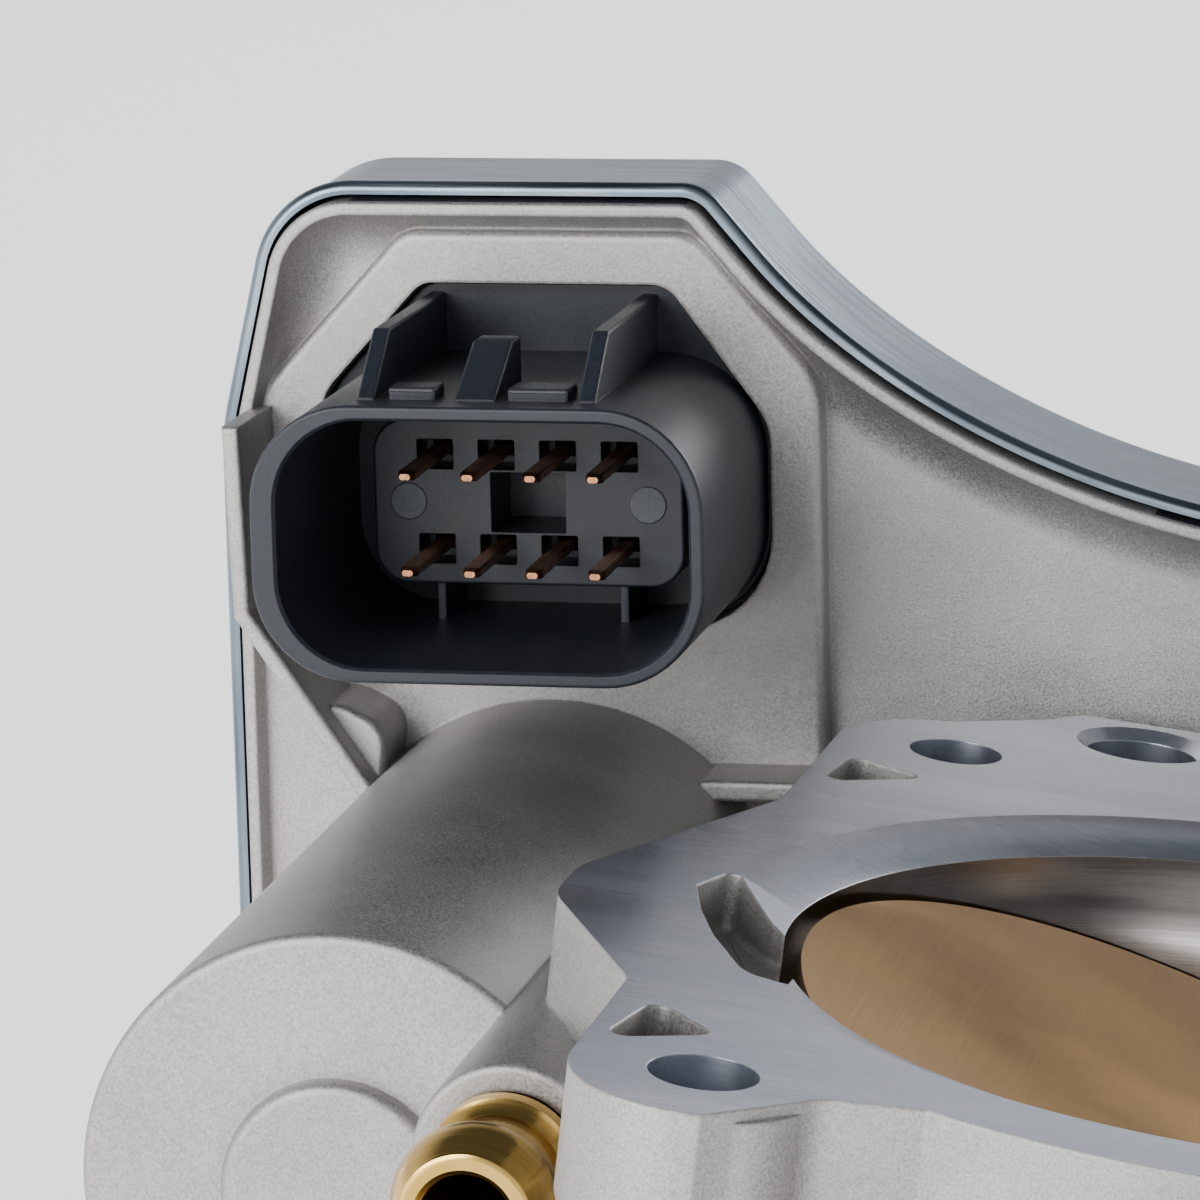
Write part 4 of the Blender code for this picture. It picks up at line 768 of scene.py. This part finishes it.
cuts = [
    seat,
    round_bar("motor_bore", MOTOR_X, MOTOR_Z, [(BARREL_FRONT + 3.2, CAN_R + FIT), (FLOOR + 1, CAN_R + FIT)]),
    slab("window", window_outline(0), [(PLATFORM - 1, 0), (FLOOR + 1, 0)]),
    round_bar("idler_hole", IDLER_X, IDLER_Z, [(RIM + 1.5, 3.3), (FLOOR + 1, 3.3)], sides=48),
    round_bar("rear_seat", SHAFT_X, SHAFT_Z, [(60.0, BEARING_SEAT_R), (FLOOR + 1, BEARING_SEAT_R)]),
    round_bar("front_seat", SHAFT_X, SHAFT_Z, [(-63.0, BEARING_SEAT_R), (-47.0, BEARING_SEAT_R)]),
    round_bar("shaft_bore", SHAFT_X, SHAFT_Z, [(-48.0, SHAFT_BORE_R), (61.0, SHAFT_BORE_R)]),
    round_bar("bore", 0, 0, [(-BODY_DEPTH - 1, BORE_R), (1, BORE_R)], "bore", BORE_SIDES),
    round_bar("lead_in", 0, 0, [(-LEAD_DEPTH, BORE_R), (1, BORE_R + flare)], "bore", BORE_SIDES),
    round_bar("inlet_edge", 0, 0, [(-BODY_DEPTH - 0.5, BORE_R + 1.3), (-BODY_DEPTH + 0.8, BORE_R)],
              "bore", BORE_SIDES),
    round_bar("nipple_seat", NIPPLE_X, NIPPLE_Z, [(NIPPLE_SEAT - 1, 5.7), (RIM - 85, 5.7)], sides=64),
    round_bar("passage", NIPPLE_X, NIPPLE_Z,
              [(NIPPLE_SEAT - 1, NIPPLE_BORE_R), (RIM - 47, NIPPLE_BORE_R)], sides=64),
    slab("notch", notch, rims(-5.0, 1.0, 0.8, 0), "bore"),
    round_bar("vent", VENT_X, VENT_Y, [(-FLANGE_T - 1, VENT_R), (1, VENT_R)], "bore", 64),
    round_bar("vent_edge", VENT_X, VENT_Y, [(-1, VENT_R), (0.5, VENT_R + 1.5)], "bore", 64)]
near = ((-8.8, 4.2), (-0.8, 9.4), (-6.8, 15.6))
far = ((-9.4, -17.2), (-0.6, -10.6), (-8.0, -6.9))
for sx in (-1, 1):
    for hole_x, y, pocket in ((BOLT_X_FRONT, -BOLT_FRONT, near), (BOLT_X, BOLT_CASE, far)):
        corners = [(sx * (x - hole_x), dy + y, 1.2) for x, dy in pocket]
        if sx < 0:
            corners.reverse()
        cuts.append(round_bar("bolt_hole", sx * hole_x, y, [(-25, BOLT_R), (1, BOLT_R)], "bore", 64))
        cuts.append(slab("pocket", rounded(corners, 5), [(-7.0, 0), (1, 0)], "bore"))
for sz in (-1, 1):
    cuts.append(round_bar("screw_hole", MOTOR_X, MOTOR_Z + sz * (CAN_R + 3.4),
                          [(FLOOR - 4, SCREW_HOLE_R), (FLOOR + 1, SCREW_HOLE_R)], sides=32))
combine(housing, cuts, "DIFFERENCE")

# %% [markdown]
# One mesh carries three finishes. A face's place and direction say which tool made it: the flange face
# and the lead-in are milled, the bore is turned, the bolt holes are drilled, and the rest is as cast.

# %% Tell machined faces from cast ones
housing.data.materials.append(finishes["machined_face"])
housing.data.materials.append(finishes["turned_bore"])
TOUCH = 0.06
milled = 0
for face in housing.data.polygons:
    point, normal = face.center / MM, face.normal
    out = math.hypot(point.x, point.y)
    face.material_index = 0
    if point.z > -TOUCH and normal.z > 0.99:
        face.material_index = 1
    elif out < LEAD_R and point.z > -LEAD_DEPTH and normal.z > 0.2:
        face.material_index = 1
    elif out < BORE_R + TOUCH and abs(normal.z) < 0.1 and abs(point.x) < BORE_R and point.z > -BODY_DEPTH:
        face.material_index = 2
    elif any(math.hypot(point.x - x, point.y - y) < r + TOUCH and abs(normal.z) < 0.8 for x, y, r in (
            (BOLT_X, BOLT_CASE, BOLT_R), (-BOLT_X, BOLT_CASE, BOLT_R), (BOLT_X_FRONT, -BOLT_FRONT, BOLT_R),
            (-BOLT_X_FRONT, -BOLT_FRONT, BOLT_R), (VENT_X, VENT_Y, VENT_R + 1))):
        face.material_index = 1
    milled += face.material_index > 0
shade(housing)
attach(housing, "housing")
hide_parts("throttle_housing")
print(milled, "machined faces")

# %% [markdown]
# ## The cover
# The cover is drawn from sheet steel and plated. Its skirt wraps the rim of the casting, its front
# edge is turned over into a bright bead, and the back rounds over a generous radius to a panel with
# a shallow raised field that stiffens it.

# %% Draw the cover
SHEET, CLEAR = 1.2, 0.5
SKIN = SHEET + CLEAR
profile = rims(COVER_FRONT, COVER_FRONT + 1.4, 0.9, 0, 6)
profile += [(COVER_FRONT + 1.9, 0.1), (COVER_FRONT + 2.6, 0.38), (COVER_FRONT + 3.4, 0.45)]
profile += [(level, inset + 0.1) for level, inset in rims(COVER_FRONT + 4, COVER_BACK, 0, 3.2, 7)][1:]
cover_rings = [[from_case(x, y, z) for x, z in case_outline(inset - SKIN)] for y, inset in profile]
cover = stack("cover", cover_rings, finishes["zinc_cover"])
hollow = slab("cover_hollow", case_outline(-CLEAR), [(COVER_FRONT - 1, 0), (COVER_BACK - SHEET, 0)])
field = slab("field", case_outline(9.0), [(COVER_BACK - 0.5, 0.5), (COVER_BACK + 1, -1.0)])
combine(cover, [hollow, field], "DIFFERENCE")
shade(cover)
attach(cover, "housing")
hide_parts("gear_cover")

# %% [markdown]
# ## The socket
# The socket is one moulding: an oval shroud, an island inside it that guides the plug, walls that
# guard the latch, and a base that fills the window in the casting. Moulded rims have small rounds,
# and the recesses round the terminals are moulded in, so they are cut after the pieces are joined.

# %% Mould the socket
PLASTIC = finishes["connector_plastic"]
ISLAND_FACE, SOCKET_FLOOR, BASE = RIM - 5.5, RIM + 3.6, PANEL - 0.8
socket = slab("socket", rounded_box(PLUG_X, PLUG_Z, PLUG_W, PLUG_H, PLUG_R),
              rims(PLUG_FRONT, BASE + 1, 0.35, 0, 3), finish=PLASTIC)
combine(socket, [slab("base", window_outline(FIT), rims(BASE, FLOOR + 0.9, 0.3, 0, 2), finish=PLASTIC),
                 slab("base_flange", window_outline(-2.2), [(FLOOR + FIT, 0), (FLOOR + FIT + 1.6, 0)],
                      finish=PLASTIC)], "UNION")
room = rounded_box(PLUG_X + 0.5, PLUG_Z, PLUG_W - 2 * PLUG_WALL - 1.0, PLUG_H - 2 * PLUG_WALL,
                   PLUG_R - PLUG_WALL)
combine(socket, [slab("room", room, [(PLUG_FRONT - 0.2, -0.45), (PLUG_FRONT + 0.35, 0), (SOCKET_FLOOR, 0)],
                      finish=PLASTIC)], "DIFFERENCE")


def sloped_wall(name, x, width, height, flat_from, back_y):
    """A wall on the shroud that slopes up from the front to its height."""
    low = rounded_box(x, PLUG_TOP - 0.3, width, 1.0, 0.3, 4)
    high = rounded_box(x, PLUG_TOP + height / 2 - 0.8, width, height, 0.3, 4)
    rings = [(PLUG_FRONT + 3, low), (flat_from, high), (back_y, high)]
    return stack(name, [[from_case(a, y, b) for a, b in ring] for y, ring in rings], PLASTIC)


def ejector_mark(name, x):
    """The round mark that a pin leaves when it pushes the moulding out of its mould."""
    profile = end_round(ISLAND_FACE - 0.14, ISLAND_FACE + 1, MARK_R, MARK_R, 0.08)
    return round_bar(name, x, PLUG_Z, profile, sides=40, finish=PLASTIC)


MARK_X, MARK_R = 11.2, 1.7
island = rounded_box(PLUG_X, PLUG_Z, 29.0, 15.4, 3.2)
combine(socket, [
    slab("island", island, rims(ISLAND_FACE, SOCKET_FLOOR + 1, 0.3, 0, 3), finish=PLASTIC),
    sloped_wall("left_guard", PLUG_X - 10.3, 1.6, 6.2, PLUG_FRONT + 9.5, BASE + 1),
    sloped_wall("right_guard", PLUG_X + 9.7, 1.6, 6.2, PLUG_FRONT + 9.5, BASE + 1),
    sloped_wall("latch_ramp", PLUG_X - 0.4, 3.7, 5.0, PLUG_FRONT + 10.5, PLUG_FRONT + 13.5),
    slab("left_ledge", rounded_box(PLUG_X - 6.2, PLUG_TOP + 0.2, 4.4, 1.8, 0.3, 3),
         rims(PLUG_FRONT + 3.5, PLUG_FRONT + 7.0, 0.4, 0.4, 2), finish=PLASTIC),
    slab("right_ledge", rounded_box(PLUG_X + 5.2, PLUG_TOP + 0.2, 5.6, 1.8, 0.3, 3),
         rims(PLUG_FRONT + 3.5, PLUG_FRONT + 7.5, 0.4, 0.4, 2), finish=PLASTIC),
    slab("left_stay", rounded_box(PLUG_X - 8.6, PLUG_Z - 9.6, 0.9, 4.4, 0.2, 2),
         rims(ISLAND_FACE + 1, SOCKET_FLOOR + 1, 0.2, 0, 2), finish=PLASTIC),
    slab("right_stay", rounded_box(PLUG_X + 8.6, PLUG_Z - 9.6, 0.9, 4.4, 0.2, 2),
         rims(ISLAND_FACE + 1, SOCKET_FLOOR + 1, 0.2, 0, 2), finish=PLASTIC),
    ejector_mark("left_mark", PLUG_X - MARK_X),
    ejector_mark("right_mark", PLUG_X + MARK_X)], "UNION")


def recess(x, z, half_w, half_h, y0, y1):
    """A square hole in the island, from one level to another."""
    outline = rounded_box(x, z, 2 * half_w, 2 * half_h, 0.15, 2)
    return slab("recess", outline, [(y0, 0), (y1, 0)], finish=PLASTIC)


recesses = [recess(PLUG_X, PLUG_Z, 3.5, 2.8, ISLAND_FACE - 1, ISLAND_FACE + 8)]
for number in range(1, 9):
    pin = centre(f"terminal_{number}")
    x, z = to_case(pin.x, pin.z)
    recesses.append(recess(x, z, 1.7, 1.4, ISLAND_FACE - 1, ISLAND_FACE + 4))
    recesses.append(recess(x, z, 1.1, 0.75, ISLAND_FACE, FLOOR + 3))
combine(socket, recesses, "DIFFERENCE")
socket.data.materials.append(finishes["worn_plastic"])
marks = 0
for face in socket.data.polygons:
    x, z = to_case(face.center.x / MM, face.center.z / MM)
    on_mark = min(math.hypot(x - PLUG_X - dx, z - PLUG_Z) for dx in (-MARK_X, MARK_X)) < MARK_R + 0.05
    face.material_index = 1 if on_mark and face.center.y / MM < ISLAND_FACE - 0.05 else 0
    marks += face.material_index
print(marks, "faces on the ejector marks")
shade(socket)
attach(socket, "housing")
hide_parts("connector_housing")

# %% [markdown]
# ## Plate, shaft and screws
# The plate is cut from sheet at the angle at which it seals, so its rim is an ellipse that fits the
# round bore. It sits in a slot in the shaft, and two screws with cross recesses hold it there.

# %% Cut the plate and the shaft
REST, CLOSED = math.radians(19.4), math.radians(14.0)
SHEET_T, PLATE_GAP, SHAFT_R, HOLE_R = 2.0, 0.35, 5.0, 2.3
turn = Matrix.Rotation(REST, 3, "Y")


def on_plate(x, y, z):
    """A point given from the shaft's axis, turned with the plate."""
    return turn @ Vector((x, y, z)) + Vector((0, 0, AXIS_Z))


def plate_box(name, x, y, z0, z1, finish):
    """A box that lies in the plate's plane."""
    corners = [(-x, -y), (x, -y), (x, y), (-x, y)]
    return stack(name, [[on_plate(a, b, level) for a, b in corners] for level in (z0, z1)], finish)


GOLD, STEEL = finishes["gold_plate"], finishes["steel"]
lean = Matrix.Rotation(REST - CLOSED, 3, "Y")
rim_circle = arc(0, 0, BORE_R - PLATE_GAP, 0, 358.6, 255)
rim_rings = [[lean @ Vector((a, b, level)) + Vector((0, 0, AXIS_Z)) for a, b in rim_circle]
             for level in (-30, 30)]
disc = stack("plate", rim_rings, GOLD)
combine(disc, [plate_box("sheet", 60, 60, -SHEET_T / 2, SHEET_T / 2, GOLD)], "INTERSECT")
shaft_low, shaft_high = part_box("throttle_shaft")
shaft_front, shaft_back = shaft_low.y / MM, shaft_high.y / MM
shaft = round_bar("shaft", SHAFT_X, SHAFT_Z, [(shaft_front, 4.6), (shaft_front + 0.4, SHAFT_R),
                                              (shaft_back - 0.4, SHAFT_R), (shaft_back, 4.6)], finish=STEEL)
combine(shaft, [plate_box("slot", 7, BORE_R + 0.5, -1.3, 1.3, STEEL)], "DIFFERENCE")


def screw_part(name, y, profile, sides=48):
    """A round about a plate screw's axis, from (height, radius) pairs."""
    rings = [[on_plate(a, b + y, level) for a, b in arc(0, 0, r, 0, 360 - 360 / sides, sides - 1)]
             for level, r in profile]
    return stack(name, rings, STEEL)


for number, y in ((1, -18.0), (2, 18.0)):
    for piece in (disc, shaft):
        combine(piece, [screw_part("hole", y, [(-6, HOLE_R), (6, HOLE_R)])], "DIFFERENCE")
    screw = screw_part(f"screw_{number}", y, [(-4.4, 1.6), (-4.0, 2.0), (5.2, 2.0), (5.3, 3.5), (5.7, 3.6),
                                              (6.4, 3.4), (6.85, 2.9), (7.0, 2.3)])
    arms = []
    for a, b in ((1.9, 0.38), (0.38, 1.9)):
        cross = [(sx * a, y + sy * b) for sx, sy in ((-1, -1), (1, -1), (1, 1), (-1, 1))]
        arms.append(stack("arm", [[on_plate(x, y_arm, level) for x, y_arm in cross] for level in (5.8, 8.0)],
                          STEEL))
    combine(screw, arms, "DIFFERENCE")
    shade(screw)
    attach(screw, "throttle")
    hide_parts(f"plate_screw_{number}")
for piece, node, slot_name in ((disc, "throttle_plate", "gold_plate"), (shaft, "throttle_shaft", "steel")):
    shade(piece)
    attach(piece, "throttle")
    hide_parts(node)

# %% [markdown]
# ## The hose nipple
# The nipple is turned from brass and pressed into its boss. A hose pushes over its rolled lip, so
# the profile has a lip, a neck and a collar. Its bore is turned too, and the mouth is chamfered.

# %% Turn the nipple
nipple_low, nipple_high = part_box("hose_nipple")
mouth, seat_y = nipple_low.y / MM, NIPPLE_SEAT
lip = [(mouth, 4.7), (mouth + 0.25, 5.2), (mouth + 0.9, 5.6), (mouth + 1.8, 6.05), (mouth + 2.8, 6.35),
       (mouth + 3.6, 6.5), (mouth + 4.4, 6.5), (mouth + 5.0, 6.35), (mouth + 5.6, 6.0),
       (mouth + 6.1, 5.4), (mouth + 6.6, 5.0)]
neck = [(mouth + 7.4, 4.9), (seat_y - 3.4, 4.9)]
collar = [(seat_y - 2.9, 5.2), (seat_y - 2.5, 5.9), (seat_y - 1.3, 6.0), (seat_y - 1.0, 5.5),
          (seat_y - 0.8, 5.4), (nipple_high.y / MM, 5.4)]
outer = lip + neck + collar
tube = round_bar("nipple", NIPPLE_X, NIPPLE_Z, outer, sides=128, finish=finishes["brass"])
inner = [(mouth - 1, 4.9), (mouth + 0.5, NIPPLE_BORE_R), (nipple_high.y / MM + 1, NIPPLE_BORE_R)]
combine(tube, [round_bar("nipple_bore", NIPPLE_X, NIPPLE_Z, inner, finish=finishes["brass"])], "DIFFERENCE")
shade(tube)
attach(tube, "housing")
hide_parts("hose_nipple")
